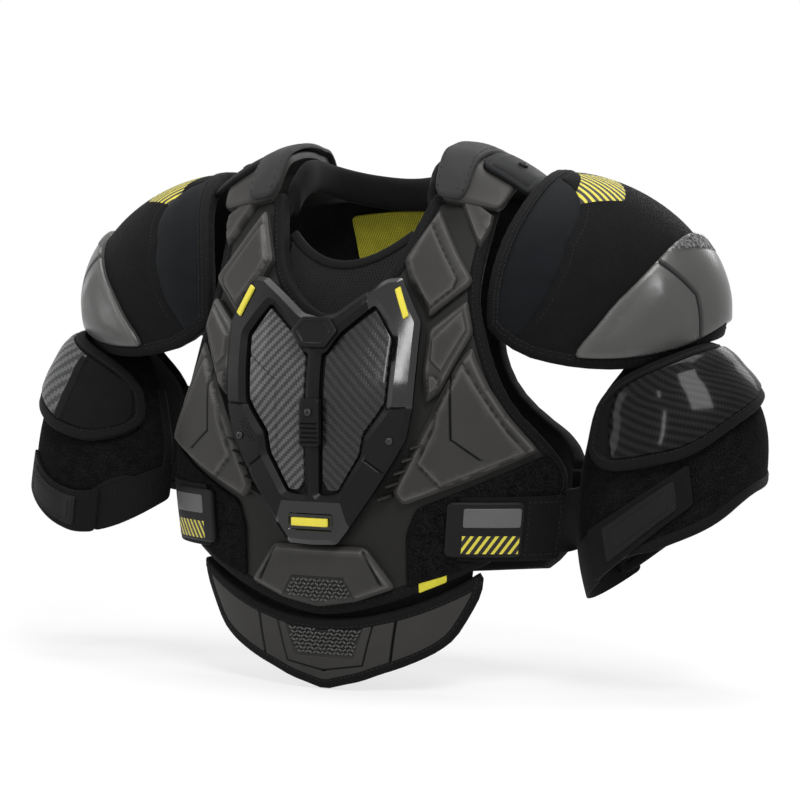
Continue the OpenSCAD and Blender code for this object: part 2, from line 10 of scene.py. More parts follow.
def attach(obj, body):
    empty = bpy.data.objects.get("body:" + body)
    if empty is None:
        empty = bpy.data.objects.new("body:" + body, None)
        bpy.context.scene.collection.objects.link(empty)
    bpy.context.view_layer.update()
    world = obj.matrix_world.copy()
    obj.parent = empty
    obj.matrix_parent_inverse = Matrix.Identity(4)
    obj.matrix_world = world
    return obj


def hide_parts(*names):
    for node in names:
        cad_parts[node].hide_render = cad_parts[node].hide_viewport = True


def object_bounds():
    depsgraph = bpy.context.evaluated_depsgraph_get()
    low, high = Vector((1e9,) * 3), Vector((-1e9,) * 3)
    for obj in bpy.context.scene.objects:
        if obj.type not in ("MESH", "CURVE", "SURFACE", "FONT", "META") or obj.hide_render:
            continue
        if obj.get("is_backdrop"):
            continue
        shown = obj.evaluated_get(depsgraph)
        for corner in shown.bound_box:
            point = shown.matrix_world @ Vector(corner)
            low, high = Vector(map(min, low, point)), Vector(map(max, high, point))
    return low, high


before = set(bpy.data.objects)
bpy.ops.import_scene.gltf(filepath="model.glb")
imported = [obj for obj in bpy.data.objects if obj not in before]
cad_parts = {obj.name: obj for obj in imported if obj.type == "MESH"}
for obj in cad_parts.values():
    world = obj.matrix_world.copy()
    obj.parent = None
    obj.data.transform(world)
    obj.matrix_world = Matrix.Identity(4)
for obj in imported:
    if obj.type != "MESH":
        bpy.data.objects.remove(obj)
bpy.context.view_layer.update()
MM = 0.001

# Sizes in millimetres, the same as in the CAD model
CHEST_W = 364
CHEST_DEEP = 101
BACK_DEEP = 105
WAIST_IN = 24
RIDGE_H = 435
YOKE_H = 15
BASE_IN = 2
BASE_OUT = 13
PANEL_IN = 13.8
PANEL_OUT = 21.8
FRAME_IN = 22.6
FRAME_OUT = 32.6
TRIM_IN = 33.4
LOOP_OUT = 15.8
TAB_IN = 16.6
TAB_OUT = 19.1
FLAP_IN = 22.6
HANG_OUT = 1.2
CAP_AT = (CHEST_W / 2 - 37, 26, 262)
CAP_SIZE = (170, 94, 126)
CAP_T = 13
CAP_PLATE_IN = 1.6
ARM_AT = (CHEST_W / 2 + 75, 8, 255.2)
CUFF_W = 92
CUFF_DEEP = 66
LINER_T = 6
GUARD_IN = 6.8
GUARD_OUT = 12.8
STRAP_T = 2.5
STRAP_MID = 180
STRAP_LAP = 21
STRAP_TURN = {"left": 62, "right": 40}
STRAP_ARC = {"left": 164, "right": 114}
TAB_ARC = 68
STRAP_SAG = {"left": 0, "right": 50}
CUFF_DROP = {"left": 60, "right": 0}
GUARD_DROP = {"left": 26, "right": 0}
CUFF_RISE = {"left": 0, "right": 24}
CUFF_FALL = {"left": 0, "right": 33}
# Torso form: height where each bend starts, its run and how far it goes
WAIST_TOP, WAIST_RUN = 130, 200
CHEST_BEND, CHEST_POWER = 180, 1.75
BELLY_TOP, BELLY_RUN, BELLY_IN = 80, 200, 9
BACK_BEND = 230
LOIN_TOP, LOIN_RUN, LOIN_IN = 200, 320, 23
LEAN_FROM, LEAN_RUN, LEAN_BY = 200, 230, 15
SLOPE_FROM, SLOPE_RUN, SLOPE, SLOPE_SOFT = 230, 170, 0.3, 120
# Arm form: tilt at the top and for each mm down, the way down, and the cuff's change of tilt and girth
ARM_TILT, ARM_TILT_MM = 18, 0.115
ARM_OUT, ARM_BACK, ARM_DOWN = 0.12, 0.02, 0.88
FALL_FROM, FALL_RUN, FALL_NARROW, FALL_DEEPEN = 60, 120, 0.006, 0.005
# Heights where the shoulder straps leave the chest and the back, and of the form between them
FRONT_STOP = 360
BACK_STOP = 346
SADDLE_V = 380
# Pattern millimetres for one degree around the arm, and for one stop over the shoulder,
# and degrees for one pattern millimetre on the cap
ARM_MM = 1.3
STOP_MM = 22
CAP_DEG = 0.573


# Body forms

def ramp(x):
    return np.clip(x, 0, 1)


def ease(x):
    t = ramp(x)
    return t * t * (3 - 2 * t)


def half_w(v):
    return CHEST_W / 2 - WAIST_IN * ease((WAIST_TOP - v) / WAIST_RUN)


def front_r(v):
    bend = ramp((v - CHEST_BEND) / (RIDGE_H - CHEST_BEND)) ** CHEST_POWER
    return CHEST_DEEP * (1 - bend) - BELLY_IN * ramp((BELLY_TOP - v) / BELLY_RUN) ** 1.5


def back_r(v):
    bend = ramp((v - BACK_BEND) / (RIDGE_H - BACK_BEND)) ** 2
    return BACK_DEEP * (1 - bend) - LOIN_IN * ease((LOIN_TOP - v) / LOIN_RUN)


def lean(v):
    return LEAN_BY * ramp((v - LEAN_FROM) / LEAN_RUN) ** 1.5


def drop(x, v):
    return SLOPE * x * x / (np.abs(x) + SLOPE_SOFT) * ease((v - SLOPE_FROM) / SLOPE_RUN)


TURNS = np.radians(np.arange(0, 180.5, 0.5))
STEPS = np.hypot(CHEST_W / 2 * np.cos(TURNS), CHEST_DEEP * np.sin(TURNS)) * math.radians(0.5)
GIRTH = np.concatenate([[0], np.cumsum((STEPS[1:] + STEPS[:-1]) / 2)])
HALF_GIRTH = GIRTH[-1]


def turn(u):
    return np.sign(u) * np.interp(np.abs(u), GIRTH, TURNS)


def torso(u, v):
    t = turn(u)
    x = half_w(v) * np.sin(t)
    r = np.where(np.abs(t) <= math.pi / 2, front_r(v), back_r(v))
    return np.stack([x, lean(v) - r * np.cos(t), v - drop(x, v)], -1)


def back(u, v):
    t = turn(u)
    x = -half_w(v) * np.sin(t)
    return np.stack([x, lean(v) + back_r(v) * np.cos(t), v - drop(x, v)], -1)


def saddle(x, a):
    c = np.cos(np.arcsin(x / half_w(SADDLE_V)))
    f = lean(SADDLE_V) - front_r(SADDLE_V) * c
    b = lean(SADDLE_V) + back_r(SADDLE_V) * c
    z = SADDLE_V - drop(x, SADDLE_V) - np.maximum(0, x - 80) ** 2 / 250 + YOKE_H * np.cos(a)
    return np.stack([x, (f + b) / 2 + (b - f) / 2 * np.sin(a), z], -1)


def cap(p, q):
    r = np.hypot(p, q) * math.radians(CAP_DEG)
    t = np.arctan2(p, q)
    return np.stack([CAP_AT[0] + CAP_SIZE[0] * np.cos(r), CAP_AT[1] - CAP_SIZE[1] * np.sin(r) * np.sin(t),
                     CAP_AT[2] + CAP_SIZE[2] * np.sin(r) * np.cos(t)], -1)


def smooth_table(x, rows):
    """Smooth curve through the rows of a table."""
    xs, ys = (np.array(c, float) for c in zip(*rows))
    slope = np.gradient(ys, xs)
    i = np.clip(np.searchsorted(xs, x) - 1, 0, len(xs) - 2)
    h = xs[i + 1] - xs[i]
    t = ramp((x - xs[i]) / h)
    return ((2 * t ** 3 - 3 * t ** 2 + 1) * ys[i] + (t ** 3 - 2 * t ** 2 + t) * h * slope[i]
            + (3 * t ** 2 - 2 * t ** 3) * ys[i + 1] + (t ** 3 - t ** 2) * h * slope[i + 1])


ARM_A = [(0, 0.1), (34, 0.22), (54, 0.5), (90, 0.74), (140, 0.97), (165, 1.02), (240, 1)]
ARM_B = [(0, 0.15), (34, 0.28), (54, 0.6), (90, 0.82), (140, 0.98), (165, 1), (240, 1)]


def arm_form(fall):
    """Arm form whose cuff hangs more level and rounder by fall degrees."""
    def arm(s, w):
        g = np.radians(s / ARM_MM)
        level = fall * ease((w - FALL_FROM) / FALL_RUN)
        tilt = np.radians(ARM_TILT + ARM_TILT_MM * w - level)
        a = CUFF_W * smooth_table(w, ARM_A) * np.cos(g) * (1 - FALL_NARROW * level)
        b = CUFF_DEEP * smooth_table(w, ARM_B) * np.sin(g) * (1 + FALL_DEEPEN * level)
        return np.stack([ARM_AT[0] + ARM_OUT * w + a * np.cos(tilt), ARM_AT[1] + ARM_BACK * w - b,
                         ARM_AT[2] - ARM_DOWN * w + a * np.sin(tilt)], -1)
    return arm


def normal(form, u, v, o=1):
    n = np.cross(form(u + 0.5, v) - form(u - 0.5, v), form(u, v + 0.5) - form(u, v - 0.5))
    return n / np.linalg.norm(n, axis=-1, keepdims=True) * o


def on(form, o=1):
    """Placing function of a form: pattern point and offset to a point in space."""
    return lambda u, v, d: form(u, v) + normal(form, u, v, o) * np.asarray(d)[..., None]


def shoulder(x, y, d):
    """Placing over the shoulder: x across, y from the front panel over the top to the back."""
    d = np.broadcast_to(np.asarray(d, float), np.shape(x))
    stops = [on(torso)(x + 3, np.full_like(x, FRONT_STOP), d)]
    stops += [on(saddle)(x, np.full_like(x, math.radians(a)), d) for a in range(-60, 61, 30)]
    stops += [on(back)(-x - 3, np.full_like(x, BACK_STOP), d)]
    stops = np.stack([2 * stops[0] - stops[1]] + stops + [2 * stops[-1] - stops[-2]])
    s = np.clip(y / STOP_MM, 0, 6)
    i = np.minimum(np.floor(s).astype(int), 5)
    t = (s - i)[:, None]
    k = np.arange(len(x))
    a, b, c, e = (stops[i + j, k] for j in range(4))
    return b + t * ((c - a) / 2 + t * (a - 2.5 * b + 2 * c - e / 2 + t * (1.5 * (b - c) + (e - a) / 2)))


FRONT = on(torso)
REAR = on(back)
CAP = on(cap, -1)
ARM = {side: on(arm_form(fall)) for side, fall in CUFF_FALL.items()}


# Patterns

def arrays(path):
    return [np.array(p, float) for p in path]


def dense(path, step, closed=True):
    path = arrays(path)
    ends = path[1:] + ([path[0]] if closed else [])
    out = []
    for a, b in zip(path, ends):
        k = max(1, int(round(np.linalg.norm(b - a) / step)))
        out += [a + (b - a) * j / k for j in range(k)]
    return np.array(out if closed else out + [path[-1]])


def rounded(path, r):
    """Closed outline with its corners rounded off."""
    path = arrays(path)
    out = []
    for i, b in enumerate(path):
        a, c = path[i - 1], path[(i + 1) % len(path)]
        la, lc = np.linalg.norm(a - b), np.linalg.norm(c - b)
        p = b + (a - b) / la * min(r, 0.42 * la)
        q = b + (c - b) / lc * min(r, 0.42 * lc)
        out += [(1 - s) ** 2 * p + 2 * s * (1 - s) * b + s * s * q for s in (0, 0.33, 0.67, 1)]
    return out


def smoothed(path, closed=True, rounds=2):
    """Path with its corners cut in rounds, so that it runs as a curve."""
    path = arrays(path)
    for _ in range(rounds):
        pairs = list(zip(path, path[1:] + ([path[0]] if closed else [])))
        new = [x for a, b in pairs for x in (0.75 * a + 0.25 * b, 0.25 * a + 0.75 * b)]
        path = new if closed else [path[0]] + new[1:-1] + [path[-1]]
    return path


def mirrored(path):
    return [(-p[0], p[1]) for p in path]


def both(path):
    """Closed outline from the half that runs from the lower to the upper middle."""
    return list(path) + [(-x, y) for x, y in path[-2:0:-1]]


def seg_dist(P, path, closed=True):
    A = np.array(arrays(path))
    B = np.roll(A, -1, 0) if closed else A[1:]
    A = A if closed else A[:-1]
    best = np.full(len(P), 1e9)
    for a, b in zip(A, B):
        ab = b - a
        t = ramp(((P - a) @ ab) / max(ab @ ab, 1e-12))
        best = np.minimum(best, np.hypot(*(P - a - t[:, None] * ab).T))
    return best


def inside(P, path):
    A = np.array(arrays(path))
    odd = np.zeros(len(P), bool)
    for a, b in zip(A, np.roll(A, -1, 0)):
        if a[1] != b[1]:
            x = a[0] + (P[:, 1] - a[1]) / (b[1] - a[1]) * (b[0] - a[0])
            odd ^= ((a[1] > P[:, 1]) != (b[1] > P[:, 1])) & (P[:, 0] < x)
    return odd


def offset_points(path, d, closed=True):
    """Points of a path moved sideways by d."""
    A = np.array(arrays(path))
    if closed:
        t = np.roll(A, -1, 0) - np.roll(A, 1, 0)
    else:
        t = np.gradient(A, axis=0)
    t /= np.maximum(np.linalg.norm(t, axis=1, keepdims=True), 1e-9)
    return A + d * np.stack([-t[:, 1], t[:, 0]], -1)


def in_region(P, outline, holes):
    keep = inside(P, outline)
    for h in holes:
        keep &= ~inside(P, h)
    return keep


# Shares of the mesh step: between points on edges and on feature lines, between rows, and kept clear
EDGE_STEP, LINE_STEP, ROW_STEP = 0.8, 0.7, 0.866
LINE_CLEAR, EDGE_CLEAR, RING_CLEAR = 0.4, 0.45, 0.85


def tessellate(outline, holes, lines, step, rings):
    """Triangles over a pattern, with vertices along its edges, feature lines and inset rings."""
    loops = [dense(p, step * EDGE_STEP) for p in [outline, *holes]]
    points, edges = [], []
    for loop in loops:
        k = len(points)
        points += list(loop)
        edges += [(k + i, k + (i + 1) % len(loop)) for i in range(len(loop))]
    marks = []
    for path, closed, offsets in lines:
        line = dense(path, step * LINE_STEP, closed)
        k = len(points)
        points += list(line)
        edges += [(k + i, k + i + 1) for i in range(len(line) - 1)]
        if closed:
            edges.append((k + len(line) - 1, k))
        for d in offsets:
            marks += list(offset_points(line, d, closed)) + list(offset_points(line, -d, closed))
    low, high = loops[0].min(0), loops[0].max(0)
    row = step * ROW_STEP
    grid = [(low[0] + step * (i + 0.5 * (j % 2)), low[1] + row * j)
            for j in range(int((high[1] - low[1]) / row) + 1)
            for i in range(int((high[0] - low[0]) / step) + 1)]

    def edge(P):
        return np.min([seg_dist(P, p) for p in loops], axis=0)

    def add(P, gap, others):
        P = np.array(P)
        if not len(P):
            return
        P = P[in_region(P, outline, holes)]
        P = P[edge(P) > gap]
        for q in others:
            if len(q) and len(P):
                near = np.array([np.min(np.hypot(*(np.array(q) - p).T)) for p in P])
                P = P[near > step * LINE_CLEAR]
        points.extend(P)

    for r in rings:
        inset = np.concatenate([np.concatenate([offset_points(p, r), offset_points(p, -r)]) for p in loops])
        add(inset, RING_CLEAR * r, [])
    if marks:
        add(marks, 0.5, [])
    add(grid, (rings[-1] if rings else 0) + EDGE_CLEAR * step, [np.array(marks)] if marks else [])
    co, _, faces, *_ = delaunay_2d_cdt([Vector(p) for p in points], edges, [], 0, 1e-4)
    P = np.array([tuple(c) for c in co])
    T = np.array(faces)
    T = T[in_region(P[T].mean(1), outline, holes)]
    used = np.unique(T)
    index = np.full(len(P), -1)
    index[used] = np.arange(len(used))
    return P[used], index[T]


# Heights over a pattern

def round_over(e, wide, fall):
    """Drop of a rounded edge at distance e from it."""
    return fall * (1 - np.sqrt(np.maximum(0, 1 - (1 - ramp(e / wide)) ** 2)))


# Width of the painted highlight along a crest, and the slope width from which a panel blends in with no
# painted highlight
CREST = 1.1
SOFT_SLOPE = 6
# How strong the painted highlight on crests is, and how dark the painted shade at the foot of a panel and in
# a groove gets
HIGHLIGHT_CRISP, HIGHLIGHT_ROUND, HIGHLIGHT_PANEL = 0.8, 0.3, 0.7
SHADE_FOOT, SHADE_GROOVE, FOOT_WIDE = 0.8, 1.6, 1.6


class Relief:
    """Upper side of a pad: its height, rounded edge, raised panels and grooves."""

    def __init__(self, d, wide=4, fall=3, crown=0.0, crown_w=40, crisp=False):
        self.d, self.wide, self.fall, self.crown, self.crown_w = d, wide, fall, crown, crown_w
        self.panels, self.grooves, self.crisp = [], [], crisp

    def panel(self, path, rise, slope=3):
        self.panels.append((path, rise, slope))
        return self

    def groove(self, path, wide=2.2, deep=1.5, closed=False):
        self.grooves.append((path, wide, deep, closed))
        return self

    def lines(self):
        out = [(p, True, (s, s + CREST) if s < SOFT_SLOPE else (s,)) for p, _, s in self.panels]
        return out + [(p, c, (0.5 * w, w)) for p, w, _, c in self.grooves]

    def height(self, P, e):
        edge = self.fall * (1 - ramp(e / self.wide)) if self.crisp else round_over(e, self.wide, self.fall)
        h = self.d - edge + self.crown * ease(e / self.crown_w)
        for path, rise, slope in self.panels:
            h = h + rise * np.where(inside(P, path), ramp(seg_dist(P, path) / slope), 0)
        for path, wide, deep, closed in self.grooves:
            h = h - deep * (1 - ease(seg_dist(P, path, closed) / wide))
        return h

    def painted_light(self, P, e):
        """Painted highlight along edge and panel crests above 0, painted shade in grooves and at panel feet
        below 0.
        """
        w = np.exp(-((e - self.wide) / CREST) ** 2) * (HIGHLIGHT_CRISP if self.crisp else HIGHLIGHT_ROUND)
        for path, rise, slope in self.panels:
            if slope >= SOFT_SLOPE:
                continue
            gap = seg_dist(P, path)
            within = inside(P, path)
            w = np.maximum(w, HIGHLIGHT_PANEL * np.where(within, np.exp(-((gap - slope) / CREST) ** 2), 0))
            w = w - SHADE_FOOT * np.where(within, 0, np.exp(-(gap / FOOT_WIDE) ** 2)) * (rise > 0)
        for path, wide, deep, closed in self.grooves:
            w = w - SHADE_GROOVE * (1 - ease(seg_dist(P, path, closed) / wide))
        return w


# Meshes

def make_mesh(name, co, faces, mats, pattern, index=None, sharp=34, painted_light=None):
    mesh = bpy.data.meshes.new(name)
    mesh.from_pydata((np.asarray(co) * MM).tolist(), [], [tuple(int(i) for i in f) for f in faces])
    for m in mats:
        mesh.materials.append(m)
    if index is not None:
        mesh.polygons.foreach_set("material_index", np.asarray(index, np.int32))
    a = mesh.attributes.new("pattern", "FLOAT_VECTOR", "POINT")
    a.data.foreach_set("vector", np.asarray(pattern, np.float32).ravel())
    # Per-vertex painted light: above 0 a painted highlight, below 0 painted shade
    if painted_light is not None:
        a = mesh.attributes.new("painted_light", "FLOAT", "POINT")
        a.data.foreach_set("value", np.asarray(painted_light, np.float32))
    mesh.validate()
    mesh.shade_smooth()
    mesh.set_sharp_from_angle(angle=math.radians(sharp))
    obj = bpy.data.objects.new(name, mesh)
    bpy.context.scene.collection.objects.link(obj)
    return obj


def turned(co, faces, flip):
    """Points and faces, mirrored for the wearer's right side."""
    if not flip:
        return co, faces
    return co * np.array([-1, 1, 1]), [tuple(reversed(f)) for f in faces]


def drape(name, place, outline, low, relief, mats, zones=(), under=None, holes=(),
          step=4.0, rings=None, o=1, flip=False):
    """Closed pad: a pattern draped over a form, its upper side shaped by a relief.

    mats names its materials; zones and under give places a material by its number there.
    """
    if rings is None:
        rings = (0.7, 1.8, relief.wide, relief.wide + CREST) if relief.crisp else (0.7, 1.8, 3.4)
    marks = relief.lines() + [(z, True, ()) for z, _ in zones]
    P, T = tessellate(outline, holes, marks, step, rings)
    e = np.min([seg_dist(P, p) for p in [outline, *holes]], axis=0)
    top = np.maximum(relief.height(P, e), low + 0.4)
    n = len(P)
    upper = place(P[:, 0], P[:, 1], top)
    lower = place(P[:, 0], P[:, 1], np.full(n, float(low)))
    count = {}
    for a, b, c in T:
        for k in ((a, b), (b, c), (c, a)):
            count[k] = count.get(k, 0) + 1
    rim = [k for k in count if (k[1], k[0]) not in count]
    faces = [tuple(t) for t in T] + [(c + n, b + n, a + n) for a, b, c in T]
    faces += [(b, a, a + n, b + n) for a, b in rim]
    if o < 0:
        faces = [tuple(reversed(f)) for f in faces]
    index = np.zeros(len(faces), int)
    mid = P[T].mean(1)
    for path, slot in zones:
        index[:len(T)][inside(mid, path)] = slot
    if under is not None:
        index[len(T):2 * len(T)] = under
    co, faces = turned(np.concatenate([upper, lower]), faces, flip)
    pattern = np.column_stack([np.tile(P, (2, 1)), np.concatenate([top, np.full(n, float(low))])])
    # Painted highlights and painted shade on the upper side, none on the lower side
    painted_light = np.concatenate([relief.painted_light(P, e), np.zeros(n)])
    return make_mesh(name, co, faces, [M[m] for m in mats.split()], pattern, index, painted_light=painted_light)


def track(place, path, d, closed, step):
    """Points, tangents, normals and sideways directions along a pattern path."""
    P = dense(path, step, closed)
    d = np.full(len(P), float(d))
    C = place(P[:, 0], P[:, 1], d)
    N = place(P[:, 0], P[:, 1], d + 1) - C
    N /= np.linalg.norm(N, axis=1, keepdims=True)
    t = (np.roll(C, -1, 0) - np.roll(C, 1, 0)) if closed else np.gradient(C, axis=0)
    t /= np.maximum(np.linalg.norm(t, axis=1, keepdims=True), 1e-9)
    return C, t, N, np.cross(N, t)


def sweep(name, C, N, S, section, mat, closed, flip=False):
    """Tube with the given cross section of (sideways, out) points along a line."""
    k, n = len(section), len(C)
    co = np.concatenate([[c + s * x + m * y for x, y in section] for c, m, s in zip(C, N, S)])
    run = np.concatenate([[0], np.cumsum(np.linalg.norm(np.diff(C, axis=0), axis=1))])
    around = np.concatenate([[0], np.cumsum(np.hypot(*np.diff(section, axis=0).T))])
    pattern = np.array([(r, a, 0) for r in run for a in around])
    faces = [(i * k + j, i * k + (j + 1) % k, (i + 1) % n * k + (j + 1) % k, (i + 1) % n * k + j)
             for i in range(n if closed else n - 1) for j in range(k)]
    if not closed:
        faces += [tuple(range(k))[::-1], tuple((n - 1) * k + j for j in range(k))]
    co, faces = turned(co, faces, flip)
    return make_mesh(name, co, faces, [mat], pattern, sharp=60)


def oval(wide, tall, power=0.6, k=14):
    a = np.arange(k) * 2 * math.pi / k
    c, s = np.cos(a), np.sin(a)
    return np.column_stack([wide / 2 * np.sign(c) * np.abs(c) ** power,
                            tall / 2 * np.sign(s) * np.abs(s) ** power])


def studs(name, spots, mat, flip=False):
    """Group of small rounded bars: each spot is middle, along, across, out, length, width, height."""
    shape = [(-1, -1, 0), (1, -1, 0), (1, 1, 0), (-1, 1, 0),
             (-0.8, -0.6, 1), (0.8, -0.6, 1), (0.8, 0.6, 1), (-0.8, 0.6, 1)]
    box = [(3, 2, 1, 0), (4, 5, 6, 7), (0, 1, 5, 4), (1, 2, 6, 5), (2, 3, 7, 6), (3, 0, 4, 7)]
    co, faces, pattern = [], [], []
    for c, a, b, n, long, wide, tall in spots:
        k = len(co)
        co += [c + a * x * long / 2 + b * y * wide / 2 + n * z * tall for x, y, z in shape]
        pattern += [(x * long / 2, y * wide / 2, z) for x, y, z in shape]
        faces += [tuple(k + i for i in f) for f in box]
    co, faces = turned(np.array(co), faces, flip)
    return make_mesh(name, co, faces, [mat], pattern, sharp=80)


# Materials

class Nodes:
    """Small helper to build the node tree of one material."""

    def __init__(self, name, rough, **sockets):
        self.mat = bpy.data.materials.new(name)
        self.mat.use_nodes = True
        self.tree = self.mat.node_tree
        self.shader = self.tree.nodes["Principled BSDF"]
        self.shader.inputs["Roughness"].default_value = rough
        for key, value in sockets.items():
            self.shader.inputs[key.replace("_", " ")].default_value = value

    def new(self, kind, **props):
        node = self.tree.nodes.new("ShaderNode" + kind)
        for key, value in props.items():
            setattr(node, key, value)
        return node

    def put(self, value, socket):
        if isinstance(value, (int, float, tuple)):
            socket.default_value = value
        else:
            self.tree.links.new(value, socket)

    def math(self, op, a, b=0.0):
        node = self.new("Math", operation=op)
        self.put(a, node.inputs[0])
        self.put(b, node.inputs[1])
        return node.outputs[0]

    def pattern(self):
        node = self.new("Attribute", attribute_name="pattern")
        split = self.new("SeparateXYZ")
        self.tree.links.new(node.outputs["Vector"], split.inputs[0])
        return node.outputs["Vector"], split.outputs[0], split.outputs[1]

    def noise(self, scale, detail=3.0):
        """Noise of the given feature size in millimetres over the pattern."""
        node = self.new("TexNoise")
        node.inputs["Scale"].default_value = 1 / scale
        node.inputs["Detail"].default_value = detail
        self.put(self.pattern()[0], node.inputs["Vector"])
        return node.outputs["Fac"]

    def mix(self, fac, low, high):
        return self.mix_colours(fac, (*low, 1.0), (*high, 1.0))

    def mix_colours(self, fac, low, high):
        node = self.new("Mix", data_type="RGBA")
        self.put(fac, node.inputs["Factor"])
        self.put(low, node.inputs["A"])
        self.put(high, node.inputs["B"])
        return node.outputs["Result"]

    def span(self, value, low, high):
        node = self.new("MapRange")
        self.put(value, node.inputs["Value"])
        node.inputs["To Min"].default_value = low
        node.inputs["To Max"].default_value = high
        return node.outputs["Result"]

    def blend(self, a, b, share):
        """The given share of a, and the rest of b."""
        return self.math("ADD", self.math("MULTIPLY", a, share), self.math("MULTIPLY", b, 1 - share))

    def wave(self, coord, period):
        """Rounded ridges across a pattern coordinate, from 0 to 1."""
        s = self.math("SINE", self.math("MULTIPLY", coord, 2 * math.pi / period))
        return self.math("ADD", self.math("MULTIPLY", s, 0.5), 0.5)

    def tones(self, fac, c, low, high):
        """Mix of a darker and a lighter shade of one colour."""
        return self.mix(fac, shade(c, low), shade(c, high))

    def colour(self, value):
        self.put(value, self.shader.inputs["Base Color"])

    def rough(self, value, low, high):
        self.put(self.span(value, low, high), self.shader.inputs["Roughness"])

    def bump(self, height, depth, strength):
        """Bump of the given depth in millimetres."""
        node = self.new("Bump")
        node.inputs["Strength"].default_value = strength
        node.inputs["Distance"].default_value = depth * MM
        self.put(height, node.inputs["Height"])
        self.tree.links.new(node.outputs["Normal"], self.shader.inputs["Normal"])
        return self


def shade(c, k):
    return tuple(x * k for x in c)


def foam(name, c, rough=0.42, spec=0.14, grain=0.16, crest=3.6):
    """Moulded foam skin: pebbled, with a painted highlight along its crests and painted shade in its grooves
    and at the foot of its panels.
    """
    n = Nodes(name, rough, Specular_IOR_Level=spec)
    broad, fine = n.noise(28, 4), n.noise(0.9, 2)
    painted_fac = n.new("Attribute", attribute_name="painted_light").outputs["Fac"]
    tone = n.tones(broad, c, 0.86, 1.14)
    # Painted highlight: positive values lighten the colour along the crests, broken up by noise
    highlight_mask = n.math("MULTIPLY", n.math("MAXIMUM", painted_fac, 0.0), n.span(n.noise(16, 3), 0.2, 1.3))
    tone = n.mix_colours(highlight_mask, tone, (*shade(c, crest), 1.0))
    # Painted shade: negative values darken the colour in grooves and at panel feet
    low = n.math("MINIMUM", n.math("MAXIMUM", n.math("MULTIPLY", painted_fac, -0.85), 0.0), 1.0)
    n.colour(n.mix_colours(low, tone, (*shade(c, 0.08), 1.0)))
    n.rough(n.blend(broad, fine, 0.6), rough - 0.08, rough + 0.1)
    return n.bump(fine, grain, 0.35).mat


def pebbled(name, low, high):
    """Rough moulded patch: pale grains over dark pores."""
    n = Nodes(name, 0.6, Specular_IOR_Level=0.25)
    grain = n.new("TexVoronoi")
    grain.inputs["Scale"].default_value = 0.42
    n.put(n.pattern()[0], grain.inputs["Vector"])
    rise = n.math("SUBTRACT", 1.0, n.math("MULTIPLY", grain.outputs["Distance"], 1.5))
    tone = n.math("MULTIPLY", n.math("MAXIMUM", rise, 0.0), n.span(n.noise(3), 0.4, 1.3))
    n.colour(n.mix(tone, low, high))
    n.rough(tone, 0.75, 0.5)
    return n.bump(rise, 0.7, 0.8).mat


def cloth(name, c, period=1.1, rough=0.8, sheen=0.02, depth=0.3, skew=0.0):
    """Woven cloth: crossed ridges of the given thread period, with uneven colour."""
    n = Nodes(name, rough, Sheen_Weight=sheen, Sheen_Roughness=0.5, Specular_IOR_Level=0.05)
    _, u, v = n.pattern()
    if skew:
        v = n.math("ADD", v, n.math("MULTIPLY", u, skew))
    weave = n.math("MULTIPLY", n.wave(u, period), n.wave(v, period))
    tone = n.blend(weave, n.noise(14), 0.55)
    n.colour(n.tones(tone, c, 0.6, 1.5))
    n.rough(n.noise(3), rough - 0.06, rough + 0.08)
    return n.bump(weave, depth, 0.7).mat


def ribbed(name, c, period=1.6, rough=0.68, depth=0.35):
    """Webbing or tape: ribs across its run, with a fine cross thread."""
    n = Nodes(name, rough, Sheen_Weight=0.02, Sheen_Roughness=0.4, Specular_IOR_Level=0.06)
    _, u, v = n.pattern()
    rib, thread = n.wave(u, period), n.wave(v, period * 0.6)
    height = n.blend(rib, thread, 0.7)
    tone = n.blend(height, n.noise(11), 0.6)
    n.colour(n.tones(tone, c, 0.6, 1.5))
    n.rough(n.noise(4), rough - 0.06, rough + 0.06)
    return n.bump(height, depth, 0.7).mat


def open_mesh(name, thread, gap, period=2.6):
    """Warp-knit mesh: staggered small holes between threads."""
    n = Nodes(name, 0.75, Sheen_Weight=0.03, Sheen_Roughness=0.5, Specular_IOR_Level=0.08)
    _, u, v = n.pattern()
    a = n.wave(n.math("ADD", u, n.math("MULTIPLY", v, 0.58)), period)
    b = n.wave(n.math("SUBTRACT", u, n.math("MULTIPLY", v, 0.58)), period)
    hole = n.math("MULTIPLY", a, b)
    n.colour(n.mix_colours(n.math("SMOOTH_MIN", n.math("MULTIPLY", hole, 2.2), 1.0),
                           n.tones(n.noise(12), thread, 0.75, 1.25),
                           (*gap, 1.0)))
    n.rough(n.noise(5), 0.68, 0.84)
    return n.bump(n.math("SUBTRACT", 1.0, hole), 0.5, 0.8).mat


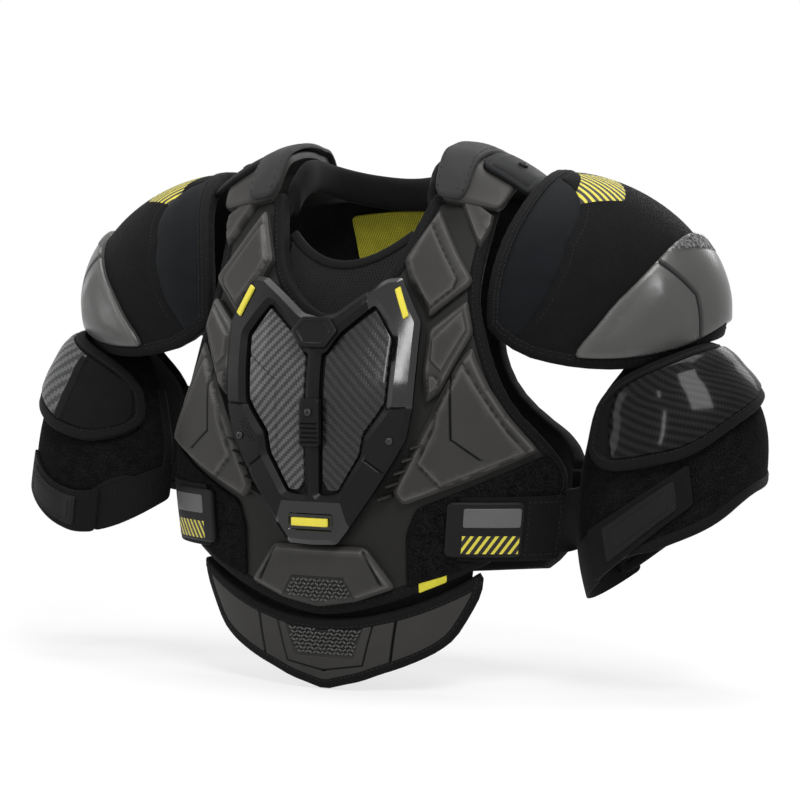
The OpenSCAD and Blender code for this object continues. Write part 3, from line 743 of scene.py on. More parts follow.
def twill(name, dark, light, tow=2.6, rough=0.3, coat=1.0, depth=0.2, spec=0.2, coat_rough=0.06):
    """Carbon cloth: two over, two under, under clear coat."""
    n = Nodes(name, rough, Coat_Weight=coat, Coat_Roughness=coat_rough, Specular_IOR_Level=spec)
    _, u, v = n.pattern()
    i, j = n.math("DIVIDE", u, tow), n.math("DIVIDE", v, tow)
    step = n.math("ADD", n.math("FLOOR", i), n.math("FLOOR", j))
    over = n.math("LESS_THAN", n.math("FLOORED_MODULO", step, 4.0), 1.5)
    lift_i = n.math("ABSOLUTE", n.math("SUBTRACT", n.math("FRACT", i), 0.5))
    lift_j = n.math("ABSOLUTE", n.math("SUBTRACT", n.math("FRACT", j), 0.5))
    edge = n.math("ADD", n.math("MULTIPLY", over, lift_i),
                  n.math("MULTIPLY", n.math("SUBTRACT", 1.0, over), lift_j))
    # Over tows are painted brighter than under tows, a painted reflection in place of the fibres' directional
    # sheen, and each tow's sides are painted darker, painted shade of its rounded profile
    tone = n.math("ADD", n.math("MULTIPLY", over, 0.75), n.math("MULTIPLY", n.noise(9), 0.3))
    tone = n.math("SUBTRACT", tone, n.math("MULTIPLY", edge, 0.35))
    n.colour(n.mix(tone, dark, light))
    n.rough(over, rough + 0.12, rough - 0.04)
    return n.bump(n.math("SUBTRACT", 0.5, edge), depth, 0.6).mat


def gloss(name, c, rough, spec):
    """Smooth moulded surface with faint smears."""
    n = Nodes(name, rough, Specular_IOR_Level=spec)
    smear = n.noise(24, 5)
    n.colour(n.tones(smear, c, 0.8, 1.3))
    n.rough(n.blend(smear, n.noise(1.2), 0.7), rough * 0.75, rough * 1.35)
    return n.bump(n.noise(0.8, 2), 0.05, 0.3).mat


def metal(name, c, rough=0.32):
    """Brushed metal."""
    n = Nodes(name, rough, Metallic=1.0)
    brushed = n.noise(1.5, 4)
    n.colour(n.tones(brushed, c, 0.8, 1.15))
    n.rough(brushed, rough - 0.08, rough + 0.12)
    return n.bump(brushed, 0.03, 0.3).mat


def pile(name, c):
    """Brushed loop: soft uneven nap."""
    n = Nodes(name, 0.92, Sheen_Weight=0.005, Sheen_Roughness=0.6, Specular_IOR_Level=0.02)
    nap = n.blend(n.noise(1.5, 3), n.noise(9, 3), 0.75)
    tuft = n.math("POWER", n.math("MULTIPLY", nap, 1.7), 4.0)
    n.colour(n.tones(n.math("MINIMUM", tuft, 1.0), c, 0.3, 3.2))
    n.rough(nap, 0.85, 0.98)
    return n.bump(nap, 0.8, 0.7).mat


def striped(name, ground, stripe, pitch, share, slant, period=1.0):
    """Cloth with printed plain diagonal stripes."""
    n = Nodes(name, 0.66, Sheen_Weight=0.15, Specular_IOR_Level=0.3)
    _, u, v = n.pattern()
    run = n.math("FRACT", n.math("DIVIDE", n.math("ADD", u, n.math("MULTIPLY", v, slant)), pitch))
    mask = n.math("LESS_THAN", run, share)
    weave = n.math("MULTIPLY", n.wave(u, period), n.wave(v, period))
    print_tone = n.tones(n.noise(4), stripe, 0.85, 1.05)
    ground_tone = n.tones(weave, ground, 0.6, 1.5)
    n.colour(n.mix_colours(mask, ground_tone, print_tone))
    n.rough(weave, 0.58, 0.72)
    return n.bump(weave, 0.25, 0.6).mat


YELLOW = (0.62, 0.54, 0.052)
GREY = (0.0305, 0.0297, 0.0282)
M = {
    "foam": foam("grey_foam_skin", GREY),
    "foam_fine": foam("fine_foam_skin", shade(GREY, 1.1), 0.46, 0.14, 0.5),
    # Half-bright copy of the grey foam for the base between the pads and for recessed patches: painted shade
    "foam_dark": foam("shaded_foam_skin", shade(GREY, 0.5), 0.5, 0.1),
    "lining": open_mesh("mesh_lining", (0.008, 0.008, 0.0085), (0.002, 0.002, 0.002)),
    "tape": ribbed("binding_tape", (0.006, 0.006, 0.0063), 1.3, 0.7),
    "thread": cloth("sewing_thread", (0.02, 0.02, 0.021), 0.8, 0.6),
    "bib": open_mesh("bib_mesh", (0.012, 0.012, 0.0125), (0.002, 0.002, 0.002), 3.0),
    "collar": cloth("collar_cloth", (0.036, 0.036, 0.037), 0.9, 0.62, 0.05, 0.15),
    "roll": cloth("roll_knit", (0.007, 0.007, 0.0073), 1.3, 0.8, 0.05),
    "loop": pile("loop_pile", (0.003, 0.003, 0.0031)),
    "gloss": gloss("polished_black", (0.002, 0.002, 0.0021), 0.1, 0.5),
    "satin": gloss("satin_black", (0.004, 0.004, 0.0043), 0.33, 0.14),
    "carbon": twill("carbon_twill", (0.0025, 0.0025, 0.0027), (0.022, 0.0225, 0.0235), 2.1, coat=0.28),
    "carbon_pale": twill("carbon_twill_pale", (0.02, 0.02, 0.0206), (0.1, 0.1, 0.1025), 2.1, 0.42, 0.15),
    "guard_carbon": twill("guard_carbon", (0.0015, 0.0015, 0.0016), (0.0105, 0.0107, 0.0112), 2.2, 0.4, 0.17,
                          0.08, 0.02, 0.1),
    "guard_ribbed": twill("guard_ribbed_carbon", (0.02, 0.02, 0.021), (0.085, 0.086, 0.088), 3.4, 0.4, 0.1,
                          0.5),
    "yellow": gloss("yellow_rubber", YELLOW, 0.42, 0.3),
    "yellow_mesh": open_mesh("yellow_mesh_cloth", (0.58, 0.54, 0.05), (0.22, 0.20, 0.02), 2.4),
    "yellow_cloth": cloth("yellow_tag_cloth", (0.62, 0.56, 0.05), 0.9, 0.7),
    "steel": metal("blackened_steel_head", (0.045, 0.045, 0.047)),
    "arch": gloss("arch_rubber", (0.0055, 0.0058, 0.0064), 0.58, 0.1),
    "moulded": gloss("moulded_rubber", (0.0065, 0.0065, 0.0069), 0.5, 0.12),
    "webbing": ribbed("woven_webbing", (0.0055, 0.0055, 0.0058), 1.8),
    "elastic": ribbed("woven_elastic", (0.007, 0.007, 0.0073), 2.2, 0.72, 0.45),
    "knit": cloth("cap_knit", (0.0068, 0.0068, 0.007), 1.5, 0.78, 0.015, 0.4, 0.5),
    "smooth": cloth("cap_smooth_cloth", (0.0062, 0.007, 0.0084), 0.8, 0.6, 0.03, 0.1),
    "plate": foam("cap_plate_skin", (0.046, 0.0455, 0.0442), 0.3, 0.45),
    "plate_rough": pebbled("cap_plate_patch", (0.02, 0.02, 0.02), (0.22, 0.22, 0.217)),
    "tab_stripe": striped("tab_stripes", (0.006, 0.006, 0.0063), YELLOW, 6.4, 0.42, -0.6),
    "stripe": striped("cap_stripes", (0.010, 0.010, 0.0105), YELLOW, 5.4, 0.46, 0.55),
    "label": gloss("silver_label", (0.085, 0.085, 0.0875), 0.38, 0.2),
}


# Pieces

# Whether a side is mirrored: patterns are drawn for the left of the front, and the right of the back
SIDES = {"left": False, "right": True}
# Middle and height of the tape around the chest and back panels, over the body form
EDGE_MID = 7.6
EDGE_TALL = 12.6
# Length, width and height of a stitch
TAPE_STITCH = (2.9, 0.9, 0.55)
SEAM_STITCH = (2.8, 0.85, 0.5)
# Where a binding's stitches lie: share of their row's distance, and how deep they sink in the tape
ROW_IN = 0.82
STITCH_SINK = 0.28
# Screw and rivet heads
HEAD_TALL = 2
SCREW_WIDE = 7
RIVET_WIDE = 9
# Cloth simulation of the filled covers
SWELL_FRAMES = 20
SWELL_PRESSURE = 120.0
SWELL_STIFF = 4


def keep(piece, body, slot, nodes=(), fill=None):
    """Tie a piece to its body and hide the CAD nodes it stands for; its material slot is not used."""
    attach(piece, body)
    if nodes:
        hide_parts(*nodes)
    return piece


def pad(name, place, path, low, relief, mats, body, slot, nodes=(), fill=None, **how):
    """Drape a pad or plate and tie it to its body."""
    return keep(drape(name, place, path, low, relief, mats, **how), body, slot, nodes, fill)


def foam_pad(name, side, place, path, relief, mats="foam", **how):
    """One of the moulded foam pads on the chest or the back."""
    pad(f"{name}_panel_{side}", place, path, PANEL_IN, relief, mats, "harness", "grey_foam",
        (f"{name}_pad_{side}",), 0.9, **how)


def web(name, place, path, low, relief, mat, body, slot, node, held, on_what, **how):
    """Webbing or elastic, draped as a thin pad and tied to its body."""
    piece = pad(name, place, path, low, relief, mat, body, slot, (node,), rings=(0.6,), **how)


def simulate(piece, fixed):
    """Corners of a piece after it swells under pressure, with its fixed vertices held."""
    piece.vertex_groups.new(name="held").add(np.flatnonzero(fixed).tolist(), 1.0, "REPLACE")
    mod = piece.modifiers.new("swell", "CLOTH")
    cfg = mod.settings
    cfg.quality, cfg.mass, cfg.bending_stiffness = 6, 0.004, 0.05
    cfg.tension_stiffness = cfg.compression_stiffness = cfg.shear_stiffness = SWELL_STIFF
    cfg.use_pressure, cfg.uniform_pressure_force = True, SWELL_PRESSURE
    cfg.vertex_group_mass, cfg.effector_weights.gravity = "held", 0
    mod.collision_settings.use_collision = False
    for step in range(1, SWELL_FRAMES + 1):
        bpy.context.scene.frame_set(step)
    done = np.empty(len(fixed) * 3, np.float32)
    piece.evaluated_get(bpy.context.evaluated_depsgraph_get()).data.vertices.foreach_get("co", done)
    piece.modifiers.remove(mod)
    piece.vertex_groups.clear()
    return done


def swell(piece, held, reach):
    """Fill a cover by cloth simulation, at most reach out from where held(pattern) is true."""
    count = len(piece.data.vertices)
    flat, rest = np.empty(count * 3, np.float32), np.empty(count * 3, np.float32)
    piece.data.attributes["pattern"].data.foreach_get("vector", flat)
    piece.data.vertices.foreach_get("co", rest)
    fixed = held(flat.reshape(-1, 3)[:, :2]) | (np.arange(count) >= count // 2)
    move = (simulate(piece, fixed) - rest).reshape(-1, 3)
    far = np.maximum(np.linalg.norm(move, axis=1, keepdims=True), 1e-9)
    move *= reach * MM * np.tanh(far / (reach * MM)) / far
    piece.data.vertices.foreach_set("co", rest + move.ravel())
    piece.data.update()
    bpy.context.scene.frame_set(1)


def binding(name, place, path, d, tall, body, slot, wide, o=1, flip=False, rows=(7.6,), shift=3.0):
    """Folded tape over a closed edge, with rows of stitches along its inner side."""
    C, t, N, S = track(place, path, d, True, 4.0)
    section = oval(wide, tall, 0.45, 16) + np.array([shift * o, 0])
    keep(sweep(name, C, N, S, section, M["tape"], True, flip), body, slot)
    C, t, N, S = track(place, path, d, True, 4.6)
    spots = [(c + s * r * o * ROW_IN + n * (tall / 2 - STITCH_SINK), a, s, n, *TAPE_STITCH)
             for r in rows for c, a, n, s in zip(C, t, N, S)]
    keep(studs(name + ".stitches", spots, M["thread"], flip), body, slot)


def stitch_line(name, place, path, d, body, slot, flip=False, closed=False, gap=4.4):
    C, t, N, S = track(place, path, d, closed, gap)
    spots = [(c, a, s, n, *SEAM_STITCH) for c, a, n, s in zip(C, t, N, S)]
    keep(studs(name, spots, M["thread"], flip), body, slot)


def texture_bars(name, outline, d, body, slot, mat, pitch=4.2, tall=1.5):
    """Patch of short raised bars in alternating directions on the front."""
    A = np.array(arrays(outline))
    low, high = A.min(0), A.max(0)
    lines = enumerate(np.arange(low[1], high[1], pitch * 0.8))
    grid = np.array([(x + (pitch / 2 if j % 2 else 0), y) for j, y in lines
                     for x in np.arange(low[0], high[0], pitch)])
    grid = grid[inside(grid, outline)]
    grid = grid[seg_dist(grid, outline) > pitch * 0.45]
    u, v, flat = grid[:, 0], grid[:, 1], np.full(len(grid), float(d))
    C = FRONT(u, v, flat)
    spots = []
    for k, (c, n, u) in enumerate(zip(C, FRONT(u, v, flat + 1.0) - C, FRONT(u + 0.5, v, flat) - C)):
        n = n / np.linalg.norm(n)
        u = u / np.linalg.norm(u)
        w = np.cross(n, u)
        a = math.radians(35 if (k * 7 + k // 5) % 3 else -40)
        spots.append((c, u * math.cos(a) + w * math.sin(a), w * math.cos(a) - u * math.sin(a), n,
                      pitch * 0.86, pitch * 0.42, tall))
    keep(studs(name, spots, M[mat]), body, slot)


def bend_row(a, b, power, k=12):
    return [(a[0] + (b[0] - a[0]) * j / k, a[1] + (b[1] - a[1]) * (j / k) ** power) for j in range(k)]


def box_path(x0, x1, y0, y1):
    return [(x0, y0), (x1, y0), (x1, y1), (x0, y1)]


def bar(a, b, wide):
    """Outline of a straight bar between two pattern points."""
    a, b = np.array(a, float), np.array(b, float)
    t = (b - a) / np.linalg.norm(b - a) * wide / 2
    n = np.array([-t[1], t[0]])
    return [a - n, b - n, b + n, a + n]


# Chest

CHEST = [
    *bend_row((0, 4), (150, 54), 1.6), (150, 54), (188, 84), (210, 108), (210, 130), (186, 158),
    (162, 184), (148, 211), (138, 240), (130, 268), (128, 288), (128, 304), (129, 322), (130, 340),
    (131, 354), (132, 364), (132, 370), (75, 370), (70, 356), (64, 335), (57, 312), (47, 290),
    (30, 272), (14, 262), (0, 257)]
CLAVICLE = [(90, 256), (120, 286), (122, 292), (108, 312), (83, 352), (62, 304), (70, 287), (86, 266)]
RIB = [(92, 188), (103, 196), (127, 245), (120, 273), (91, 246), (89, 210)]
PECTORAL = [(74, 101), (130, 124), (181, 147), (158, 176), (140, 204), (131, 222), (127, 234), (117, 221),
            (97, 181), (65, 112)]
ABDOMEN = both([(0, 11), (36, 17), (71, 30), (43, 64), (0, 64)])
LOOP = [(80, 31), (114, 42), (150, 61), (186, 89), (202, 110), (203, 128), (190, 144), (84, 98), (77, 76)]
RIB_STARTS = [(38 + 47 * t, 81 + 79 * t) for t in (0.3, 0.44, 0.58, 0.72, 0.86)]
WEDGE = [(97, 366), (113, 366), (131, 357), (131, 345), (123, 322), (118, 330)]
CLAVICLE_FACET = [(79, 338), (110, 290), (108, 281), (90, 263), (85, 270), (72, 289), (66, 303)]
RIB_FACETS = [[(94, 238), (106, 251), (117, 264), (122, 246), (104, 212), (100, 215), (94, 221)],
              [(94, 194), (101, 199), (103, 205), (99, 209), (93, 210)]]
PECTORAL_FACET = [(120, 220), (132, 201), (156, 164), (170, 146), (104, 117), (85, 137), (98, 168),
                  (100, 181)]
PECTORAL_FINE = [(111, 212), (112, 158), (134, 141), (183, 148), (160, 178), (142, 206), (128, 236)]


def chest_panel():
    outline = both(CHEST)
    far_wedge = mirrored(WEDGE)[::-1]
    r = Relief(BASE_OUT, 4, 2.5)
    for x, y in RIB_STARTS:
        rib = bar((x, y), (x + 13, y + 5), 5)
        r.panel(rib, 11, 2.2).panel(mirrored(rib)[::-1], 11, 2.2)
    r.panel(WEDGE, 6, 3).panel(far_wedge, 6, 3)
    # The base around the pads takes the darker foam copy: painted shade
    pad("chest_panel", FRONT, outline, BASE_IN, r, "foam_dark lining foam", "harness", "base_foam",
        ("chest_base_left", "chest_base_right"), 0.85, zones=[(WEDGE, 2), (far_wedge, 2)], under=1,
        step=6, rings=(1.0, 3.0))
    binding("chest_binding", FRONT, smoothed(outline, rounds=1), EDGE_MID, EDGE_TALL, "harness",
            "base_foam", 12, shift=5.0)
    tag = rounded([(91, 26), (114, 36), (113, 46), (90, 36)], 1.5)
    pad("chest_tag", FRONT, tag, BASE_OUT, Relief(BASE_OUT + 2.2, 0.8, 0.6), "yellow_cloth", "harness",
        "yellow_trim", step=3, rings=(0.6,))


def chest_side(side, f):
    r = Relief(PANEL_OUT, 3, 3.2, crisp=True).panel(CLAVICLE_FACET, 2.4, 2.0)
    foam_pad("clavicle", side, FRONT, rounded(CLAVICLE, 4), r, flip=f, step=3.4)
    r = Relief(PANEL_OUT, 3, 3.2, crisp=True)
    for facet in RIB_FACETS:
        r.panel(facet, 2.4, 1.8)
    foam_pad("rib", side, FRONT, rounded(RIB, 4), r, flip=f, step=3.2)
    r = Relief(PANEL_OUT, 4, 3.6, crisp=True).panel(PECTORAL_FACET, 2.6, 2.4)
    r.groove(PECTORAL_FINE[:3], 1.5, 1.2)
    foam_pad("pectoral", side, FRONT, rounded(PECTORAL, 5), r, "foam foam_fine",
             zones=[(PECTORAL_FINE, 1)], flip=f, step=3.6)
    loop = rounded(LOOP, 6)
    pad(f"loop_patch_{side}", FRONT, loop, PANEL_IN, Relief(LOOP_OUT + 0.6, 2, 1.2, 0.6, 12), "loop",
        "harness", "loop_fabric", (f"loop_field_{side}",), 0.5, step=6, flip=f)
    stitch_line(f"loop_seam_{side}", FRONT, offset_points(dense(loop, 6), 3), LOOP_OUT - 0.1,
                "harness", "loop_fabric", f, True)


def chest():
    chest_panel()
    for side, f in SIDES.items():
        chest_side(side, f)
    patch = [(-25, 38), (25, 38), (36, 20), (0, 14), (-36, 20)]
    r = Relief(PANEL_OUT, 4, 3.6, crisp=True).panel(patch, -1.6, 1.6)
    for k in (-1, 1):
        r.groove([(58 * k, 33), (42 * k, 60)], 1.8, 1.4)
    # The recessed patch takes the darker foam copy: painted shade
    pad("abdomen_panel", FRONT, rounded(ABDOMEN, 5), PANEL_IN, r, "foam foam_dark", "harness", "grey_foam",
        ("abdomen_pad",), 0.9, zones=[(patch, 1)], step=3.6)
    texture_bars("abdomen_texture", patch, PANEL_OUT - 1.9, "harness", "grey_foam", "plate")
    bib = [(u, 304 + u * u / 116) for u in range(60, -61, -10)] + [(-60, 232), (60, 232)]
    pad("neck_bib_mesh", FRONT, bib, HANG_OUT - 5, Relief(HANG_OUT, 3, 2), "bib", "harness", "mesh_black",
        ("neck_bib",), 0.4, step=8)
    C, t, N, S = track(FRONT, bib[:13], HANG_OUT - 2, False, 5)
    keep(sweep("bib_binding", C, N, S, oval(9, 6.4, 0.5), M["tape"], False), "harness", "mesh_black")


# Sternum guard

BED = both([(0, 69), (21, 70), (29, 80), (52, 117), (76, 158), (81, 185), (84, 249), (65, 283), (53, 281),
            (13, 252), (0, 249)])
RAIL_OUT = [(0, 66), (22, 67), (31, 79), (55, 117), (66, 136), (78, 158), (83, 185), (85, 215), (86, 250),
            (66, 286), (54, 284), (34, 270), (14, 255), (0, 252)]
WINDOW = [(6, 109), (11, 108), (23, 110), (32, 126), (42, 143), (45, 160), (63, 186), (65, 212), (66, 238),
          (56, 252), (47, 263), (20, 240), (10, 225), (6, 224)]
CARBON = [(13, 112), (22, 112), (40, 144), (43, 162), (61, 188), (64, 237), (48, 260), (21, 238), (9, 222),
          (8, 122)]
BADGE = both([(0, 227), (11, 227), (21, 240), (12, 251), (0, 251)])
BADGE_MID = 239
INSERT = [(73, 251), (77, 254), (67, 277), (63, 274)]
INSERTS = {"left": INSERT, "right": INSERT, "low": box_path(-16, 16, 82, 89)}
SCREWS = {"slider_screw": (0, 180, FRAME_OUT + 2.2), "rail_screw_left": (66, 157, FRAME_OUT - 0.3),
          "rail_screw_right": (-66, 157, FRAME_OUT - 0.3)}


def screw(name, place, u, v, d, wide, mat, flip=False):
    """Domed head with a cross recess."""
    one = np.ones(1)
    c = place(one * u, one * v, one * d)[0]
    n = place(one * u, one * v, one * (d + 1))[0] - c
    n /= np.linalg.norm(n)
    a = np.cross(n, (0, 0, 1.0))
    a /= np.linalg.norm(a)
    b = np.cross(n, a)
    rings = [(1, 0), (1, 0.55), (0.9, 0.85), (0.7, 1), (0.46, 1), (0.4, 0.55)]
    floor = 0.5
    k, m = 24, len(rings)
    co, pattern = [], []
    for i, (r, h) in enumerate(rings):
        for j in range(k):
            t = 2 * math.pi * j / k
            q = r * wide / 2 * (1 if i < 4 else 0.75 + 0.25 * math.cos(4 * t))
            co.append(c + a * q * math.cos(t) + b * q * math.sin(t) + n * h * HEAD_TALL)
            pattern.append((q * math.cos(t), q * math.sin(t), h))
    co += [c + n * floor * HEAD_TALL, c]
    pattern += [(0, 0, 0), (0, 0, 0)]
    faces = [(i * k + j, i * k + (j + 1) % k, (i + 1) * k + (j + 1) % k, (i + 1) * k + j)
             for i in range(m - 1) for j in range(k)]
    faces += [((m - 1) * k + j, (m - 1) * k + (j + 1) % k, m * k) for j in range(k)]
    faces += [((j + 1) % k, j, m * k + 1) for j in range(k)]
    co, faces = turned(np.array(co), faces, flip)
    return make_mesh(name, co, faces, [M[mat]], pattern, sharp=35)


def sternum_frame():
    # The bed under the frame takes the darker foam copy: painted shade
    pad("sternum_bed", FRONT, rounded(BED, 3), PANEL_IN, Relief(PANEL_OUT, 2, 2), "foam_dark", "harness",
        "grey_foam", ("sternum_base",), 0.9, step=6)
    r = Relief(FRAME_OUT, 4.5, 4, crisp=True)
    for k in (-1, 1):
        r.groove([(62 * k, 183.5), (84 * k, 184.5)], 1.4, 1.4)
        r.groove([(46 * k, 140), (62 * k, 128)], 1.4, 1.4)
    holes = [rounded(WINDOW, 3), rounded(mirrored(WINDOW)[::-1], 3)]
    shiny = [(36, 290), (44, 250), (60, 200), (62, 184), (90, 184), (100, 290)]
    holder = [(-40, 60), (40, 60), (26, 103), (-26, 103)]
    r.panel(rounded(box_path(-20, 20, 78, 93), 2), -1.4, 1.2)
    pad("sternum_rails", FRONT, rounded(both(RAIL_OUT), 3), FRAME_IN, r, "satin gloss", "harness",
        "gloss_frame", ("sternum_frame",), zones=[(shiny, 1), (holder, 1)], holes=holes, step=4,
        rings=(1.5, 3.0, 4.5))
    texture_bars("rail_texture", [(-62, 180), (-49, 160), (-50, 143), (-70, 168)], FRAME_OUT - 0.2,
                 "harness", "gloss_frame", "satin", 3.4, 0.8)


def sternum():
    sternum_frame()
    for side, f in SIDES.items():
        r = Relief(FRAME_IN + 4, 1.2, 1, 1, 22)
        if f:
            r.groove([(63, 222), (35, 202), (33, 136), (39, 127)], 0.9, 0.8)
        pad(f"carbon_plate_{side}", FRONT, rounded(CARBON, 2), FRAME_IN, r, "carbon_pale" if f else "carbon",
            "harness", "carbon", (f"sternum_plate_{side}",), flip=f, step=4)
    inner = [(x * 0.72, BADGE_MID + (y - BADGE_MID) * 0.72) for x, y in BADGE]
    r = Relief(TRIM_IN + 3, 2, 1.8).panel(inner, -0.8, 1)
    pad("hex_badge", FRONT, rounded(BADGE, 2), TRIM_IN - 0.7, r, "satin", "harness", "gloss_frame",
        ("sternum_badge",), step=2.4, rings=(0.6, 1.4))
    r = Relief(FRAME_OUT + 2.4, 2, 1.6)
    for v in range(154, 171, 4):
        r.groove([(-7, v), (7, v)], 1.5, 1.2)
    pad("chest_slider", FRONT, rounded(box_path(-9, 9, 150, 190), 3), FRAME_OUT - 2.2, r, "satin", "harness",
        "gloss_frame", ("sternum_slider",), step=2.4, rings=(0.6, 1.4))
    for name, path in INSERTS.items():
        pad(f"yellow_insert_{name}", FRONT, rounded(path, 1), TRIM_IN - 1.2, Relief(TRIM_IN + 1.6, 1, 0.8),
            "yellow", "harness", "yellow_trim", ("frame_inserts",) if name == "left" else (), step=2.4,
            rings=(0.5,), flip=name == "right")
    for name, at in SCREWS.items():
        keep(screw(name, FRONT, *at, SCREW_WIDE, "steel"), "harness", "steel",
             ("frame_screws",) if name == "slider_screw" else ())


# Shoulders

NECK = [(70, -38, 349), (70, -29, 364), (67, -14, 381), (69, 10, 384), (63, 38, 378), (45, 58, 371.5),
        (21, 68, 367.5), (0, 71, 366)]


def shoulder_side(side, f):
    end = 6 * STOP_MM
    path = rounded(box_path(76, 132, 0.5, end - 0.5), 8)
    pad(f"yoke_pad_{side}", shoulder, path, PANEL_IN, Relief(PANEL_OUT, 4, 3), "foam", "harness",
        "base_foam", (f"yoke_{side}",), 0.8, flip=f, step=6)
    wing = rounded(box_path(72, 100, 0.5, end - 0.5), 9)
    piece = drape(f"collar_wing_{side}", shoulder, wing, FLAP_IN, Relief(FLAP_IN + 4.4, 4, 2.6, 0.8, 12),
                  "collar", flip=f, step=5)
    swell(piece, lambda P: seg_dist(P, wing) < 5, 2.0)
    keep(piece, "harness", "collar_cloth", (f"collar_flap_{side}",), 0.6)
    stitch_line(f"collar_seam_{side}", shoulder, box_path(75, 97, 5, end - 5), FLAP_IN + 4.2, "harness",
                "collar_cloth", f, True)
    path = rounded(box_path(103, 144.6, STOP_MM, 5 * STOP_MM), 9)
    r = Relief(FLAP_IN + 4, 3, 2).groove(offset_points(dense(path, 6), 6), 1.4, 0.8, True)
    pad(f"arch_plate_{side}", shoulder, path, FLAP_IN, r, "arch", "harness", "moulded_black",
        (f"shoulder_arch_{side}",), flip=f, step=5)
    rivet = screw(f"arch_rivet_{side}", on(saddle), 124.5, math.radians(-12), FLAP_IN + 4.2, RIVET_WIDE,
                  "moulded", f)
    keep(rivet, "harness", "moulded_black", () if f else ("arch_rivets",))


def shoulders():
    for side, f in SIDES.items():
        shoulder_side(side, f)
    C = np.array(smoothed(NECK + [(-x, y, z) for x, y, z in NECK[-2::-1]], False, 3))
    t = np.gradient(C, axis=0)
    S = np.column_stack([t[:, 1], -t[:, 0], np.zeros(len(C))])
    S /= np.linalg.norm(S, axis=1, keepdims=True)
    N = np.tile((0, 0, 1.0), (len(C), 1))
    order = np.arange(len(C))
    ends = np.clip(np.minimum(order, order[::-1]) / 3.0, 0.25, 1)[:, None]
    keep(sweep("collar_roll", C, N * ends, S * ends, oval(14, 30, 0.8, 20), M["roll"], False),
         "harness", "mesh_black", ("collar",), 0.8)


# Back

BACK = [*bend_row((0, 18), (150, 34), 1.3), (150, 34), (192, 66), (210, 98), (206, 124), (170, 146),
        (120, 166), (90, 188), (75, 214), (70, 240), (74, 266), (90, 292), (118, 322), (131, 348), (132, 370),
        (88, 365), (44, 360), (0, 355)]
SPINE = both([(0, 60), (20, 64), (26, 130), (32, 240), (28, 318), (16, 334), (0, 336)])
SCAPULA = [(44, 262), (62, 264), (82, 296), (104, 322), (106, 336), (44, 336), (40, 300)]
SCAPULA_FACET = [(50, 272), (60, 274), (78, 302), (95, 322), (96, 328), (52, 328), (49, 300)]
LUMBAR = [(34, 52), (80, 52), (146, 70), (176, 102), (152, 130), (110, 148), (70, 176), (38, 180), (36, 120)]
LUMBAR_FACET = [(46, 62), (80, 62), (140, 80), (162, 102), (146, 120), (104, 136), (66, 162), (48, 166)]


def rear():
    outline = both(BACK)
    # The back's base takes the darker foam copy: painted shade
    pad("back_panel", REAR, outline, BASE_IN, Relief(BASE_OUT, 4, 2.5), "foam_dark lining", "harness",
        "base_foam", ("back_base_left", "back_base_right"), 0.85, under=1, step=8, rings=(1.0, 3.0))
    binding("back_binding", REAR, smoothed(outline, rounds=1), EDGE_MID, EDGE_TALL, "harness", "base_foam",
            12)
    r = Relief(PANEL_OUT + 4, 5, 4.5, 1, 18)
    for v in range(96, 320, 36):
        r.groove([(-24, v), (0, v + 8), (24, v)], 2.6, 2.4)
    pad("spine_plate", REAR, rounded(SPINE, 6), PANEL_IN, r, "moulded", "harness", "moulded_black",
        ("spine_guard",), step=5)
    for side, f in SIDES.items():
        r = Relief(PANEL_OUT, 4, 3.6, crisp=True).panel(SCAPULA_FACET, 1.8, 2.4)
        r.groove([(50, 304), (84, 312)], 1.6, 1.2)
        foam_pad("scapula", side, REAR, rounded(SCAPULA, 6), r, flip=not f, step=5)
        r = Relief(PANEL_OUT, 4, 3.6, crisp=True).panel(LUMBAR_FACET, 1.8, 2.4)
        r.groove([(48, 116), (100, 110), (158, 104)], 1.6, 1.2).groove([(100, 110), (108, 76)], 1.6, 1.2)
        foam_pad("lumbar", side, REAR, rounded(LUMBAR, 6), r, flip=not f, step=5)
    pad("neck_patch", REAR, rounded(box_path(-64, 64, 308, 352), 5), HANG_OUT - 3, Relief(HANG_OUT, 1.5, 1),
        "yellow_mesh", "harness", "yellow_mesh", ("neck_label",), 0.3, step=7)


# Belly pad and side straps

def tapered(rows):
    """Closed outline from rows of position, lower and upper edge."""
    return [(u, a) for u, a, _ in rows] + [(u, b) for u, _, b in rows[::-1]]


def widen(rows):
    return [(-u, a, b) for u, a, b in rows[:0:-1]] + rows


BELLY = widen([(0, -63, -2), (20, -58, -1), (38, -54, 1), (57, -47, 5), (76, -41, 10), (96, -33, 17),
               (112, -25, 24), (126, -14, 31), (137, 6, 38), (145, 25, 43)])


def belly():
    path = smoothed(tapered(BELLY), rounds=1)
    patch = [(-41, -6), (0, -9), (41, -6), (31, -34), (-31, -34)]
    r = Relief(BASE_IN + 10, 4, 3, 1.0, 30).panel(patch, -1.6, 2)
    for k in (-1, 1):
        r.groove([(72 * k, 6), (66 * k, -44)], 1.8, 1.8)
        r.groove([(52 * k, 4), (40 * k, -40), (0, -46)], 1.4, 1.0)
    # The recessed patch takes the darker foam copy: painted shade
    pad("belly_panel", FRONT, path, BASE_IN, r, "foam lining foam_dark", "belly", "grey_foam",
        ("belly_pad",), 0.8, zones=[(patch, 2)], under=1, step=5)
    texture_bars("belly_texture", patch, BASE_IN + 9.2, "belly", "grey_foam", "plate")
    binding("belly_binding", FRONT, path, BASE_IN + 5, 11, "belly", "grey_foam", 10, shift=4.6)
    strip = [(u, b) for u, _, b in BELLY if abs(u) < 140]
    path = [(u, b - 22) for u, b in strip] + [(u, b + 26) for u, b in strip[::-1]]
    web("belly_elastic", FRONT, path, HANG_OUT - STRAP_T, Relief(HANG_OUT, 0.8, 0.4), "elastic", "belly",
        "webbing", "belly_hanger", "hung", "belly_panel", step=8)


